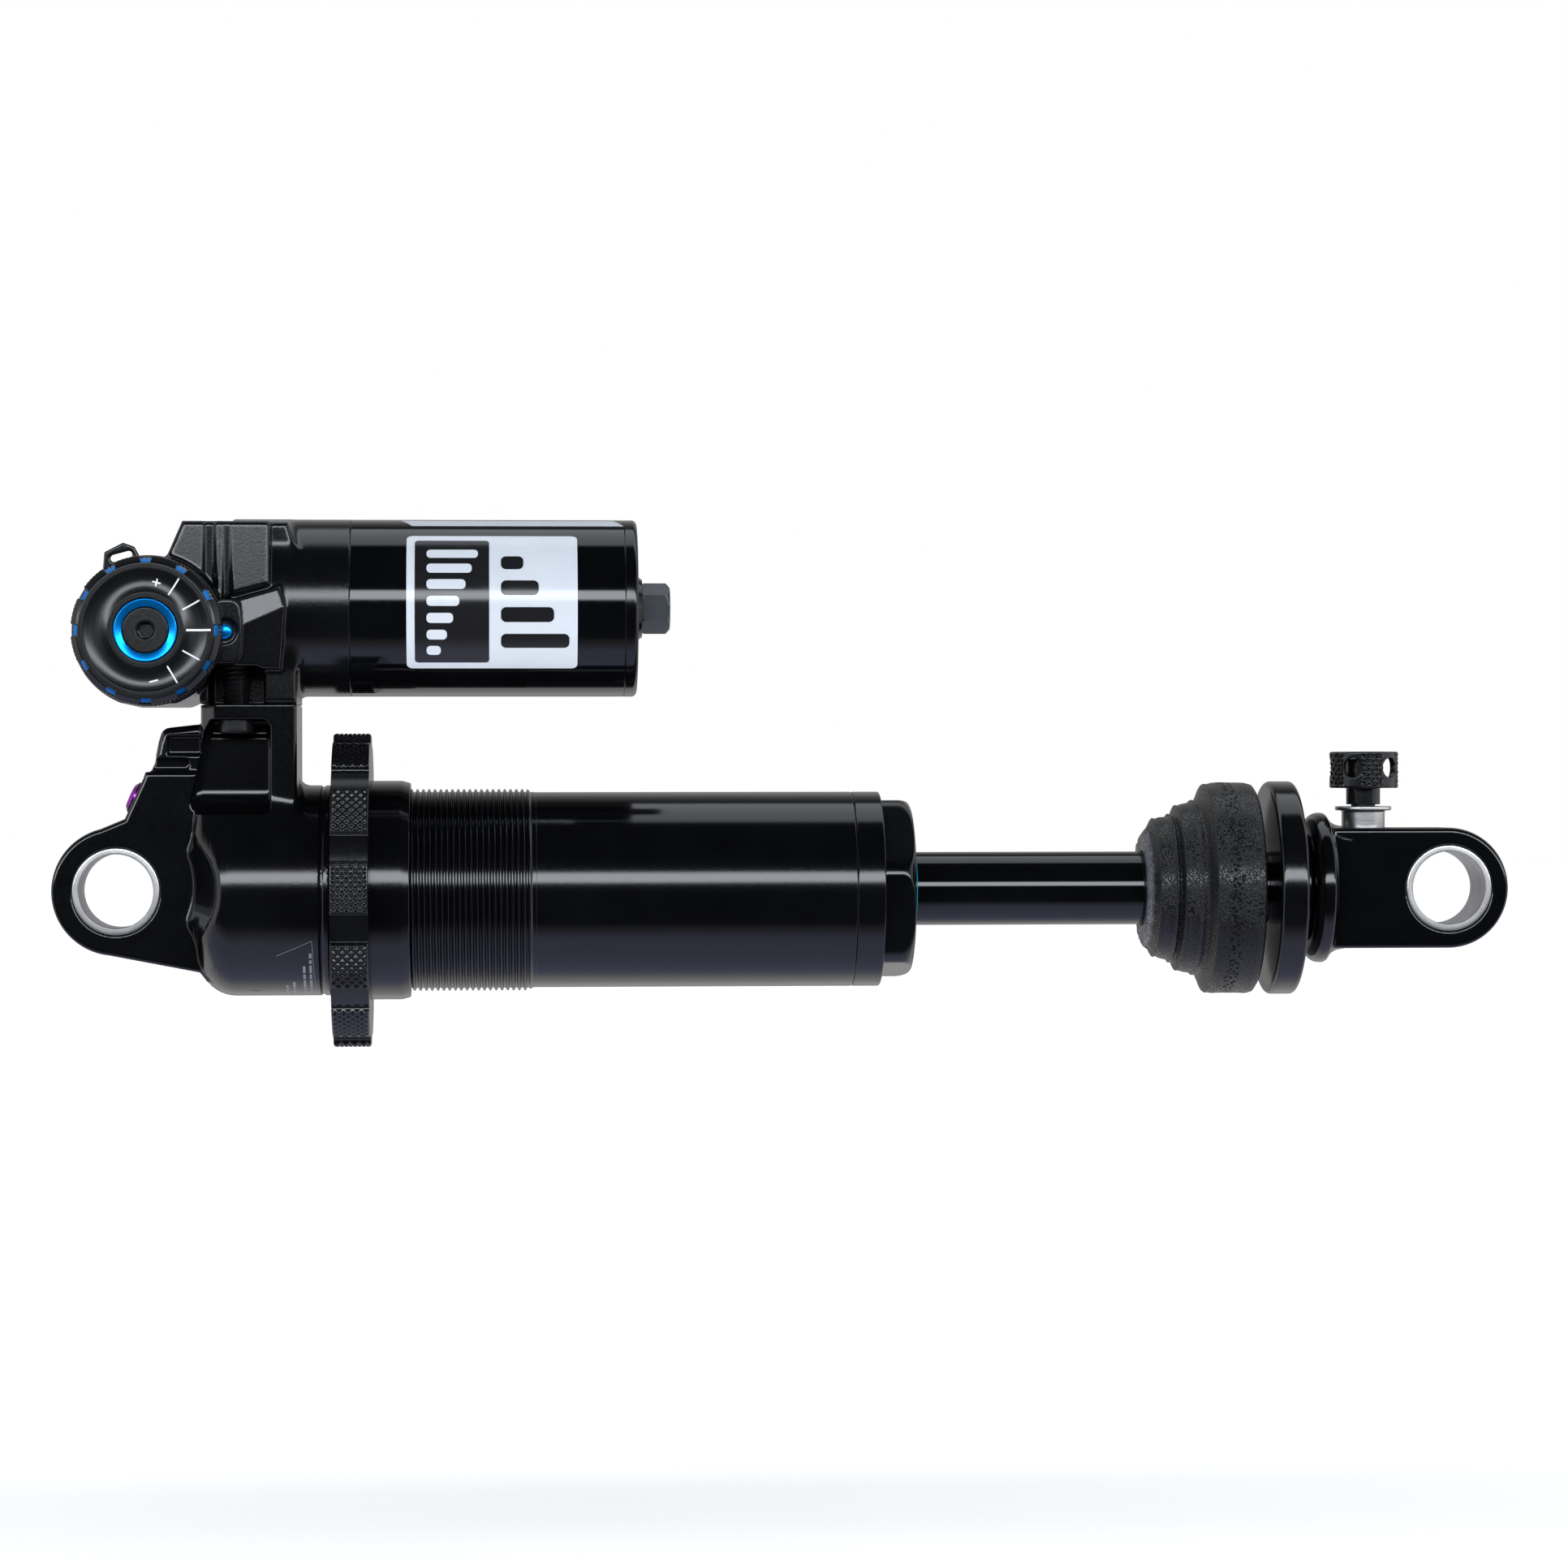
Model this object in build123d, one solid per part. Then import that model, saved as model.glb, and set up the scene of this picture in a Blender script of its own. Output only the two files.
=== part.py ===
"""A bicycle rear shock: a coil-over damper with a piggyback gas reservoir, without its coil spring.

Frame, in millimetres: the origin is the centre of the head eyelet's bore, +X runs along the damper to
the far eyelet, +Z points at the reservoir, and Y is the axis of both eyelets.
"""

import os
from math import atan2, cos, radians, sin, sqrt

from build123d import *

# Driving dimensions
EYE_TO_EYE = 230.0
STROKE = 57.5
EYE_BORE_R = 6.35
BUSH_R = 7.5
EYE_WIDTH = 12.7
CLEAR = 0.3  # left between pieces that move past each other
RUN = 0.05  # radial clearance of a running fit

# Damper head
HEAD_R = 18.1
HEAD_END = 36.5
HEAD_LUG_R = 11.0
TOWER_LEFT = 14.4
TOWER_RIGHT = 31.0
TOWER_HALF = 12.5
TOWER_BLEND_R = 11.0
JOINT_Z = 31.9  # where the reservoir head sits on the tower
POCKET_RIGHT = 26.6
POCKET_LOW = 13.2
POCKET_HIGH = 28.6
POCKET_FLOOR_R = 4.0
POCKET_CORNER_R = 2.0
POCKET_WALL = 4.2  # half the thickness of the web between the two bolt pockets
BOLT_X = 20.7
BOLT_Y = 8.3
OIL_X = 21.6
OIL_R = 2.4

# Damper tube and seal head
TUBE_R = 16.85
TUBE_BORE_R = 14.0
TUBE_NECK_R = 15.6
TUBE_START = 22.0
THREAD_R = 17.4
THREAD_PITCH = 1.0
THREAD_DEPTH = 0.55
THREAD_END = 71.3
TUBE_END = 126.2
SEAL_PLUG_START = 112.0
SEAL_STEP = 131.0
SEAL_END = 136.5
SEAL_R = 16.0
SEAL_FLATS = 6
SEAL_FLAT_R = 14.3  # from the axis to each flat
SEAL_FLAT_TURN = 18.0  # degrees that the first flat is turned from +Y towards +Z
SEAL_GROOVE_START = 117.0
SEAL_GROOVE_END = 119.2
BUSHING_START = 113.5
BUSHING_R = 7.35
PRESSURE_SEAL_START = 123.0
PRESSURE_SEAL_END = 128.0
PRESSURE_SEAL_R = 8.75
WIPER_START = 132.5
WIPER_R = 8.55

# Spring collar, guide and retainer
COLLAR_LEFT = 36.9
COLLAR_RIGHT = 43.3
COLLAR_R = 27.0
COLLAR_LOBES = 12
COLLAR_PAD_DEG = 18.5
GUIDE_R = 18.85
GUIDE_RIGHT = 50.1
RETAINER_LEFT = 198.7
RETAINER_RIGHT = 203.5
RETAINER_R = 18.55
RETAINER_SLOT = 13.1

# Shaft and far eyelet
SHAFT_R = 6.35
SHAFT_BORE_R = 2.6
SHAFT_START = 89.5
SHAFT_STEP = 108.0  # the shoulder that the piston's stack is clamped against
SHAFT_SPIGOT_R = 5.0
SHAFT_END = 211.8
PISTON_SEAT_R = 4.0
PISTON_LEFT = 97.0
PISTON_RIGHT = 106.0
NUT_END = 95.0
SHIM = 0.25  # thickness of one valve shim
FLANGE_LEFT = 206.0
FLANGE_R = 12.8
EYE_BLOCK_LEFT = 209.8
EYE_R = 10.45
KNOB_X = 216.1
KNOB_R = 6.1
KNOB_STEM_R = 2.12
KNOB_LOW = 17.35
KNOB_HIGH = 23.7
KNOB_CUP_FLOOR = 19.0
KNOB_HOLES = 5
KNOB_HOLE_Z = 21.0
SLEEVE_LOW = 7.45
SLEEVE_HIGH = 14.2
SLEEVE_R = 3.75
SLEEVE_RIM_R = 4.9

# Reservoir and compression unit
RES_Z = 48.6
RES_R = 15.25
RES_BORE_R = 13.5
RES_START = 33.0
RES_JOINT = 40.0
RES_CAP = 86.8
RES_END = 89.0
RES_TOP = 63.3
PANEL_HALF = 15.8
RIB_HALF = 16.6
UNIT_X = 6.4
UNIT_Z = 44.0
BARREL_R = 12.9
BARREL_FRONT = -17.6
BARREL_BACK = 27.0
CARTRIDGE_R = 9.5
DIAL_R = 12.55
DIAL_FRONT = -25.0
DIAL_BACK = -19.5
DIAL_WINDOWS = 12
LEVER_FRONT = -19.2
LEVER_BACK = -17.9
POINTER_X = 20.7
POINTER_FACE = -19.0
UNIT_AT = (UNIT_X, 0, UNIT_Z)
RES_AT = (0, 0, RES_Z)


def turned(points, along="X", at=(0, 0, 0)):
    """Turn a closed outline of (distance along the axis, radius) into a solid about that axis."""
    outline = make_face(Polyline(*points, close=True))
    solid = revolve(outline, axis=Axis.X)
    turn = {"X": Rot(0, 0, 0), "Y": Rot(0, 0, 90), "Z": Rot(0, -90, 0)}[along]
    return Pos(*at) * turn * solid


def rod(start, end, radius, along="X", at=(0, 0, 0)):
    """A plain round bar or hole from start to end along an axis."""
    return turned([(start, 0), (start, radius), (end, radius), (end, 0)], along, at)


def tube(start, end, inner, outer, along="X", at=(0, 0, 0)):
    """A plain ring or tube."""
    return turned([(start, inner), (start, outer), (end, outer), (end, inner)], along, at)


def o_ring(centre, radius, section, along="X", at=(0, 0, 0)):
    """An O-ring whose section is centred on the given radius."""
    turn = {"X": Rot(0, 90, 0), "Y": Rot(90, 0, 0), "Z": Rot(0, 0, 0)}[along]
    shift = {"X": (centre, 0, 0), "Y": (0, centre, 0), "Z": (0, 0, centre)}[along]
    return Pos(*at) * Pos(*shift) * turn * Torus(radius, section / 2)


def slab(outline, y_low, y_high):
    """A flat outline in X and Z, thick from y_low to y_high."""
    return extrude(Plane.XZ.offset(-y_high) * outline, amount=y_high - y_low)


def block(low, high):
    """A box between two opposite corners."""
    size = [b - a for a, b in zip(low, high)]
    middle = [(a + b) / 2 for a, b in zip(low, high)]
    return Pos(*middle) * Box(*size)


def both_sides(solid):
    """A solid and its mirror image across the middle plane."""
    return solid + mirror(solid, about=Plane.XZ)


def hexagon(start, end, across_flats, along, at=(0, 0, 0)):
    """A hexagonal bar from start to end along an axis."""
    bar = extrude(RegularPolygon(across_flats / 2, 6, major_radius=False), amount=end - start)
    turn = {"X": Rot(0, 90, 0), "Y": Rot(-90, 0, 0), "Z": Rot(0, 0, 0)}[along]
    shift = {"X": (start, 0, 0), "Y": (0, start, 0), "Z": (0, 0, start)}[along]
    return Pos(*at) * Pos(*shift) * turn * bar


def eyelet_bush(x):
    """A steel-backed bush with chamfered ends, flush with the eyelet's faces."""
    half = EYE_WIDTH / 2
    lead = 0.35
    profile = [
        (-half, EYE_BORE_R + lead),
        (-half, BUSH_R),
        (half, BUSH_R),
        (half, EYE_BORE_R + lead),
        (half - lead, EYE_BORE_R),
        (-half + lead, EYE_BORE_R),
    ]
    return turned(profile, "Y", (x, 0, 0))


def tower_section():
    """The tower's section across X: straight sides that sweep out onto the round head."""
    centre_y = TOWER_HALF + TOWER_BLEND_R
    centre_z = sqrt((HEAD_R + TOWER_BLEND_R) ** 2 - centre_y**2)
    share = HEAD_R / (HEAD_R + TOWER_BLEND_R)
    touch = (centre_y * share, centre_z * share)
    half_turn = atan2(centre_z, centre_y) / 2
    bend = (
        centre_y - TOWER_BLEND_R * cos(half_turn),
        centre_z - TOWER_BLEND_R * sin(half_turn),
    )
    right = ThreePointArc((TOWER_HALF, centre_z), bend, touch)
    left = ThreePointArc((-TOWER_HALF, centre_z), (-bend[0], bend[1]), (-touch[0], touch[1]))
    rest = [
        Line((-TOWER_HALF, centre_z), (-TOWER_HALF, JOINT_Z)),
        Line((-TOWER_HALF, JOINT_Z), (TOWER_HALF, JOINT_Z)),
        Line((TOWER_HALF, JOINT_Z), (TOWER_HALF, centre_z)),
        Line(touch, (0, 0)),
        Line((0, 0), (-touch[0], touch[1])),
    ]
    return make_face([right, left, *rest])


def head_barrel():
    """The round part of the head, domed towards the eyelet."""
    shoulder = HEAD_END - 16.3
    foot = (13.9, 11.85)
    nose = 9.6
    dome = ThreePointArc(foot, (15.75, 16.25), (shoulder, HEAD_R))
    rest = Polyline((shoulder, HEAD_R), (HEAD_END, HEAD_R), (HEAD_END, 0), (nose, 0), (nose, 5.0), foot)
    return revolve(make_face([dome, *rest.edges()]), axis=Axis.X)


def head_plate():
    """The flat plate that carries the eyelet, with the ear that runs up to the tower."""
    half = EYE_WIDTH / 2
    right = OIL_X
    plate = make_face(
        Polyline(
            (-5.7, 9.4), (1.5, 12.4), (4.7, 19.4), (right, 19.4),
            (right, -14.5), (14.4, -14.0), (-2.4, -10.7), close=True,
        )
    )
    ear = make_face(
        Polyline(
            (4.7, 19.0), (6.3, 22.0), (7.2, 26.0), (8.6, 28.0),
            (13.6, 28.5), (right, 28.5), (right, 19.0), close=True,
        )
    )
    slot = block((3.0, -half, 20.6), (13.2, -half + 2.0, 22.4))
    window = block((8.0, -half, 23.2), (12.6, -half + 1.9, 27.0))
    body = slab(plate, -half, half) + slab(ear, 0.9 - half, half - 0.9)
    body += rod(-half, half, HEAD_LUG_R, "Y")
    return body - slot - window


def scallop():
    """What a cutter takes off the side of the head to clear the mounting hardware."""
    left, right = -14.0, 14.2
    low, high = -22.0, 34.0
    kink = (10.4, 9.4)
    foot = (10.9, -7.5)
    outline = [
        Line((left, high), (right, high)),
        Line((right, high), (right, POCKET_HIGH)),
        Line((right, POCKET_HIGH), kink),
        ThreePointArc(kink, (13.2, 1.6), foot),
        Line(foot, (right, -13.8)),
        Line((right, -13.8), (right, low)),
        Line((right, low), (left, low)),
        Line((left, low), (left, high)),
    ]
    return both_sides(slab(make_face(outline), -HEAD_R - 1, -EYE_WIDTH / 2))


def bolt_pocket():
    """One open-sided pocket that a socket key reaches the bolt through, rounded at its floor."""
    space = block((6.0, -HEAD_R, POCKET_LOW), (POCKET_RIGHT, -POCKET_WALL, POCKET_HIGH))
    floor_edge = space.edges().filter_by(Axis.X).sort_by(Axis.Z)[:2].sort_by(Axis.Y)[-1]
    pocket = fillet(floor_edge, POCKET_FLOOR_R)
    corners = [e for e in pocket.edges().filter_by(Axis.Y) if e.center().X > POCKET_RIGHT - 0.1]
    return fillet(corners, POCKET_CORNER_R)


def damper_head():
    """The forged head: barrel, tower and eyelet plate in one piece, with its bores and pockets."""
    tower = extrude(Plane.YZ.offset(TOWER_LEFT) * tower_section(), amount=TOWER_RIGHT - TOWER_LEFT)
    low_tower = block((TOWER_LEFT - 4.0, -EYE_WIDTH / 2, 0), (TOWER_RIGHT, EYE_WIDTH / 2, 28.5))
    body = head_barrel() + tower
    body -= scallop()
    body += head_plate() + (low_tower - block((0, -10, 20), (TOWER_LEFT, 10, 40)))
    pockets = bolt_pocket()
    body -= pockets + mirror(pockets, about=Plane.XZ)
    body -= rod(-EYE_WIDTH, EYE_WIDTH, BUSH_R, "Y")
    body -= rod(TUBE_START, HEAD_END + 1, TUBE_NECK_R)
    body -= rod(13.0, JOINT_Z + 1, OIL_R, "Z", (OIL_X, 0, 0))
    body -= rod(TUBE_START - 3.5, TUBE_START + 1, 11.0)
    bolt_hole = rod(POCKET_HIGH - 1, JOINT_Z + 1, 2.7, "Z", (BOLT_X, BOLT_Y, 0))
    body -= both_sides(bolt_hole)
    return body - bleed_axis() * rod(-6.0, 6.0, 1.5, "X")


def bleed_axis():
    """Where the bleed screw stands: in the middle of the head's rear slope, square to it."""
    return Pos(3.1, 0, 15.9) * Rot(0, -155.4, 0)


def bleed_screw():
    """A small button-head screw with a hexagon socket, its head out along the rear slope's normal."""
    profile = [(0.0, 0), (0.0, 2.8), (0.5, 2.8), (1.1, 2.0), (1.3, 0)]
    head = turned(profile)
    shank = rod(-4.5, 0.0, 1.5)
    return bleed_axis() * (head + shank - hexagon(0.3, 2.5, 2.0, "X"))


def damper_tube():
    """The body tube: a plain neck in the head, a ring-grooved threaded run, then the plain body."""
    profile = [(TUBE_START, TUBE_BORE_R), (TUBE_START, TUBE_NECK_R), (HEAD_END, TUBE_NECK_R)]
    profile.append((HEAD_END, THREAD_R - THREAD_DEPTH))
    turns = int((THREAD_END - HEAD_END) / THREAD_PITCH)
    for turn in range(turns):
        start = HEAD_END + turn * THREAD_PITCH
        profile.append((start + 0.40 * THREAD_PITCH, THREAD_R))
        profile.append((start + 0.60 * THREAD_PITCH, THREAD_R))
        profile.append((start + THREAD_PITCH, THREAD_R - THREAD_DEPTH))
    profile += [(THREAD_END, TUBE_R), (TUBE_END, TUBE_R), (TUBE_END, TUBE_BORE_R)]
    body = turned(profile)
    return body - rod(8.0, TUBE_R, OIL_R, "Z", (OIL_X + 2.0, 0, 0))


def preload_collar():
    """The threaded spring collar: knurled pads and plain gaps by turns, and a counterbored face."""
    edge = 0.6
    bore = THREAD_R + 0.08
    seat = GUIDE_R + 0.15
    profile = [
        (COLLAR_LEFT, bore),
        (COLLAR_LEFT, COLLAR_R - edge),
        (COLLAR_LEFT + edge, COLLAR_R),
        (COLLAR_RIGHT - edge, COLLAR_R),
        (COLLAR_RIGHT, COLLAR_R - edge),
        (COLLAR_RIGHT, seat),
        (COLLAR_RIGHT - 0.6, seat),
        (COLLAR_RIGHT - 0.6, bore),
    ]
    collar = turned(profile)
    pitch = 360 / COLLAR_LOBES
    half_gap = radians(pitch - COLLAR_PAD_DEG) / 2
    gap_floor = COLLAR_R - 1.1
    gap = tube(COLLAR_LEFT - 1, COLLAR_RIGHT + 1, gap_floor, COLLAR_R + 1)
    gap &= block(
        (COLLAR_LEFT - 1, 0, -COLLAR_R * sin(half_gap)),
        (COLLAR_RIGHT + 1, COLLAR_R + 2, COLLAR_R * sin(half_gap)),
    )
    for lobe in range(COLLAR_LOBES):
        collar -= Rot(pitch * (lobe + 0.5), 0, 0) * gap
    return collar


def spring_guide():
    """The plain sleeve ahead of the collar that centres the coil spring."""
    bore = THREAD_R + 0.08
    left = COLLAR_RIGHT - 0.6 + RUN
    profile = [
        (left, bore),
        (left, GUIDE_R),
        (GUIDE_RIGHT - 1.6, GUIDE_R),
        (GUIDE_RIGHT, GUIDE_R - 0.4),
        (GUIDE_RIGHT, bore),
    ]
    return turned(profile)


def seal_head():
    """The seal head: a plug in the tube, a flange flush with it, and a rounded nose with flats."""
    plug_r = TUBE_BORE_R
    groove_r = plug_r - 1.3
    throat = SHAFT_R + 0.25
    profile = [
        (SEAL_PLUG_START, throat),
        (SEAL_PLUG_START, plug_r),
        (SEAL_GROOVE_START, plug_r),
        (SEAL_GROOVE_START, groove_r),
        (SEAL_GROOVE_END, groove_r),
        (SEAL_GROOVE_END, plug_r),
        (TUBE_END, plug_r),
        (TUBE_END, TUBE_R - 0.35),
        (TUBE_END + 0.35, TUBE_R),
        (SEAL_STEP - 0.3, TUBE_R),
        (SEAL_STEP, TUBE_R - 0.3),
        (SEAL_STEP, SEAL_R),
        (SEAL_END - 2.2, SEAL_R),
        (SEAL_END - 0.8, SEAL_R - 0.9),
        (SEAL_END, SEAL_R - 2.8),
        (SEAL_END, WIPER_R),
        (WIPER_START, WIPER_R),
        (WIPER_START, throat),
        (PRESSURE_SEAL_END, throat),
        (PRESSURE_SEAL_END, PRESSURE_SEAL_R),
        (PRESSURE_SEAL_START, PRESSURE_SEAL_R),
        (PRESSURE_SEAL_START, BUSHING_R),
        (BUSHING_START, BUSHING_R),
        (BUSHING_START, throat),
    ]
    body = turned(profile)
    for flat in range(SEAL_FLATS):
        cut = block((SEAL_STEP, SEAL_FLAT_R, -SEAL_R), (SEAL_END + 1, SEAL_R + 2, SEAL_R))
        body -= Rot(360 / SEAL_FLATS * flat + SEAL_FLAT_TURN, 0, 0) * cut
    return body


def shaft_wiper():
    """The wiper: a ring in the nose's counterbore with a lip that leans in on the shaft."""
    lip = SHAFT_R + RUN
    profile = [
        (WIPER_START, lip + 0.4),
        (WIPER_START, WIPER_R),
        (SEAL_END - 0.3, WIPER_R),
        (SEAL_END + 0.2, WIPER_R - 1.0),
        (SEAL_END + 0.5, lip + 0.25),
        (SEAL_END + 0.3, lip),
        (SEAL_END - 0.8, lip),
    ]
    return turned(profile)


def shaft_seal():
    """A U-section pressure seal, open towards the oil."""
    lip = SHAFT_R + RUN
    start = PRESSURE_SEAL_START
    end = PRESSURE_SEAL_END - 0.1
    cleft = start + 2.5
    outer = PRESSURE_SEAL_R
    profile = [
        (start, lip),
        (start, lip + 0.5),
        (cleft, lip + 0.9),
        (cleft, outer - 0.8),
        (start, outer - 0.5),
        (start, outer),
        (end, outer),
        (end, lip),
    ]
    return turned(profile)


def shaft():
    """The hollow damper shaft, turned down at each end for the piston and for the eyelet's thread."""
    profile = [
        (SHAFT_START, SHAFT_BORE_R),
        (SHAFT_START, PISTON_SEAT_R - 0.4),
        (SHAFT_START + 0.5, PISTON_SEAT_R),
        (SHAFT_STEP, PISTON_SEAT_R),
        (SHAFT_STEP, SHAFT_R),
        (FLANGE_LEFT + 0.5, SHAFT_R),
        (FLANGE_LEFT + 0.5, SHAFT_SPIGOT_R),
        (SHAFT_END, SHAFT_SPIGOT_R),
        (SHAFT_END, SHAFT_BORE_R),
    ]
    return turned(profile)


def main_piston():
    """The piston, with slanted oil ports through it and a groove for its glide band."""
    band = 1.1
    outer = TUBE_BORE_R - CLEAR
    profile = [
        (PISTON_LEFT, PISTON_SEAT_R),
        (PISTON_LEFT, outer - 0.8),
        (PISTON_LEFT + 0.8, outer),
        (PISTON_LEFT + 2.5, outer),
        (PISTON_LEFT + 2.5, outer - band),
        (PISTON_RIGHT - 2.0, outer - band),
        (PISTON_RIGHT - 2.0, outer),
        (PISTON_RIGHT - 0.8, outer),
        (PISTON_RIGHT, outer - 0.8),
        (PISTON_RIGHT, PISTON_SEAT_R),
    ]
    body = turned(profile)
    ports = 6
    for port in range(ports):
        hole = rod(PISTON_LEFT - 1, PISTON_RIGHT + 1, 1.3, "X", (0, 0, 8.2))
        body -= Rot(360 / ports * port, 0, 0) * hole
    return body


def shim_stack(start, step, radii, inner, along="X", at=(0, 0, 0)):
    """A stack of thin spring-steel discs, one solid as they are clamped tight."""
    profile = [(start, inner)]
    for index, radius in enumerate(radii):
        profile.append((start + index * step, radius))
        profile.append((start + (index + 1) * step, radius))
    profile.append((start + len(radii) * step, inner))
    return turned(profile, along, at)


def bumper():
    """The foam bumper: a stack of rounded steps that grow towards the spring retainer."""
    bore = SHAFT_R + 0.15
    profile = [
        (176.6, bore),
        (176.6, 7.6),
        (177.3, 9.7),
        (178.7, 11.6),
        (180.1, 12.3),
        (181.5, 12.6),
        (182.9, 14.1),
        (184.3, 14.8),
        (185.7, 15.0),
        (187.1, 17.0),
        (188.5, 18.1),
        (190.0, 18.35),
        (194.9, 18.35),
        (196.2, 17.9),
        (196.4, 17.2),
        (196.4, bore),
    ]
    return turned(profile)


def spring_retainer():
    """The slotted disc that drops over the shaft and holds the coil spring's far end."""
    edge = 0.9
    bore = SHAFT_R + 0.1
    profile = [
        (RETAINER_LEFT, bore),
        (RETAINER_LEFT, RETAINER_R - edge),
        (RETAINER_LEFT + edge, RETAINER_R),
        (RETAINER_RIGHT - edge, RETAINER_R),
        (RETAINER_RIGHT, RETAINER_R - edge),
        (RETAINER_RIGHT, 9.5),
        (FLANGE_LEFT - CLEAR, 9.5),
        (FLANGE_LEFT - CLEAR, bore),
    ]
    half = RETAINER_SLOT / 2
    slot = block((RETAINER_LEFT - 1, 0, -half), (FLANGE_LEFT, RETAINER_R + 1, half))
    return turned(profile) - slot


def shaft_eyelet():
    """The far eyelet: a flange, a waisted neck and a flat-sided block round the bore."""
    half = EYE_WIDTH / 2
    neck_r = EYE_R - 0.3
    neck = [
        (FLANGE_LEFT, SHAFT_SPIGOT_R),
        (FLANGE_LEFT, FLANGE_R - 0.6),
        (FLANGE_LEFT + 0.6, FLANGE_R),
        (208.4, FLANGE_R),
        (209.2, FLANGE_R - 0.5),
        (210.4, FLANGE_R - 1.9),
        (212.2, neck_r),
        (214.0, neck_r),
        (214.0, SHAFT_SPIGOT_R),
    ]
    neck_body = turned(neck) + rod(SHAFT_END, 214.0, 6.0)
    front_cut = block((210.6, -20, -20), (216, -half, 20))
    bevelled = EYE_BLOCK_LEFT + 1.6
    outline = make_face(
        Polyline(
            (EYE_BLOCK_LEFT, EYE_R - 1.4), (bevelled, EYE_R), (EYE_TO_EYE, EYE_R),
            (EYE_TO_EYE, -EYE_R), (bevelled, -EYE_R), (EYE_BLOCK_LEFT, 1.4 - EYE_R), close=True,
        )
    )
    body = slab(outline, -half, half) - rod(209.0, SHAFT_END, SHAFT_SPIGOT_R)
    body += rod(-half, half, EYE_R, "Y", (EYE_TO_EYE, 0, 0))
    body += neck_body - both_sides(front_cut)
    body -= rod(FLANGE_LEFT - 1, FLANGE_LEFT + 0.5, SHAFT_R)
    body -= rod(-half - 1, half + 1, BUSH_R, "Y", (EYE_TO_EYE, 0, 0))
    body -= rod(-3.4, EYE_R + 1, 3.0, "Z", (KNOB_X, 0, 0))
    body -= rod(SLEEVE_LOW, EYE_R + 1, SLEEVE_R, "Z", (KNOB_X, 0, 0))
    return body - rod(211.0, KNOB_X, SHAFT_BORE_R)


def rebound_sleeve():
    """The bright collar pressed into the eyelet, which the rebound knob turns in."""
    bore = KNOB_STEM_R + 0.08
    rim = SLEEVE_HIGH - 0.6
    profile = [(SLEEVE_LOW, bore), (SLEEVE_LOW, SLEEVE_R), (rim, SLEEVE_R), (rim, SLEEVE_RIM_R)]
    profile += [(SLEEVE_HIGH, SLEEVE_RIM_R), (SLEEVE_HIGH, bore)]
    return turned(profile, "Z", (KNOB_X, 0, 0))


def rebound_knob():
    """The rebound knob: a cup with pads and holes on a neck, and the stem that bears on the rod."""
    tip = -3.0
    neck_r = 2.95
    edge = 0.4
    profile = [
        (tip, 0),
        (tip, KNOB_STEM_R - 0.5),
        (0.0, KNOB_STEM_R),
        (SLEEVE_HIGH + CLEAR, KNOB_STEM_R),
        (SLEEVE_HIGH + CLEAR, neck_r),
        (KNOB_LOW, neck_r),
        (KNOB_LOW, KNOB_R - edge),
        (KNOB_LOW + edge, KNOB_R),
        (KNOB_HIGH - edge, KNOB_R),
        (KNOB_HIGH, KNOB_R - edge),
        (KNOB_HIGH, KNOB_R - 1.2),
        (KNOB_CUP_FLOOR, KNOB_R - 1.4),
        (KNOB_CUP_FLOOR, 0),
    ]
    knob = turned(profile, "Z", (KNOB_X, 0, 0))
    for hole in range(KNOB_HOLES):
        angle = 360 / KNOB_HOLES * (hole + 0.5) - 7
        knob -= Pos(KNOB_X, 0, KNOB_HOLE_Z) * Rot(0, 0, angle) * rod(2.5, KNOB_R + 1, 1.7, "Y")
    return knob


def reservoir_head_outline():
    """The casting's side view: from the compression barrel up to the panel, and down to its foot."""
    foot = 14.6
    return make_face(
        Polyline(
            (UNIT_X, UNIT_Z), (9.4, 57.0), (11.8, RES_TOP), (28.0, RES_TOP), (TOWER_RIGHT, 58.0),
            (TOWER_RIGHT, JOINT_Z), (foot, JOINT_Z), (foot, 38.0), close=True,
        )
    )


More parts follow.
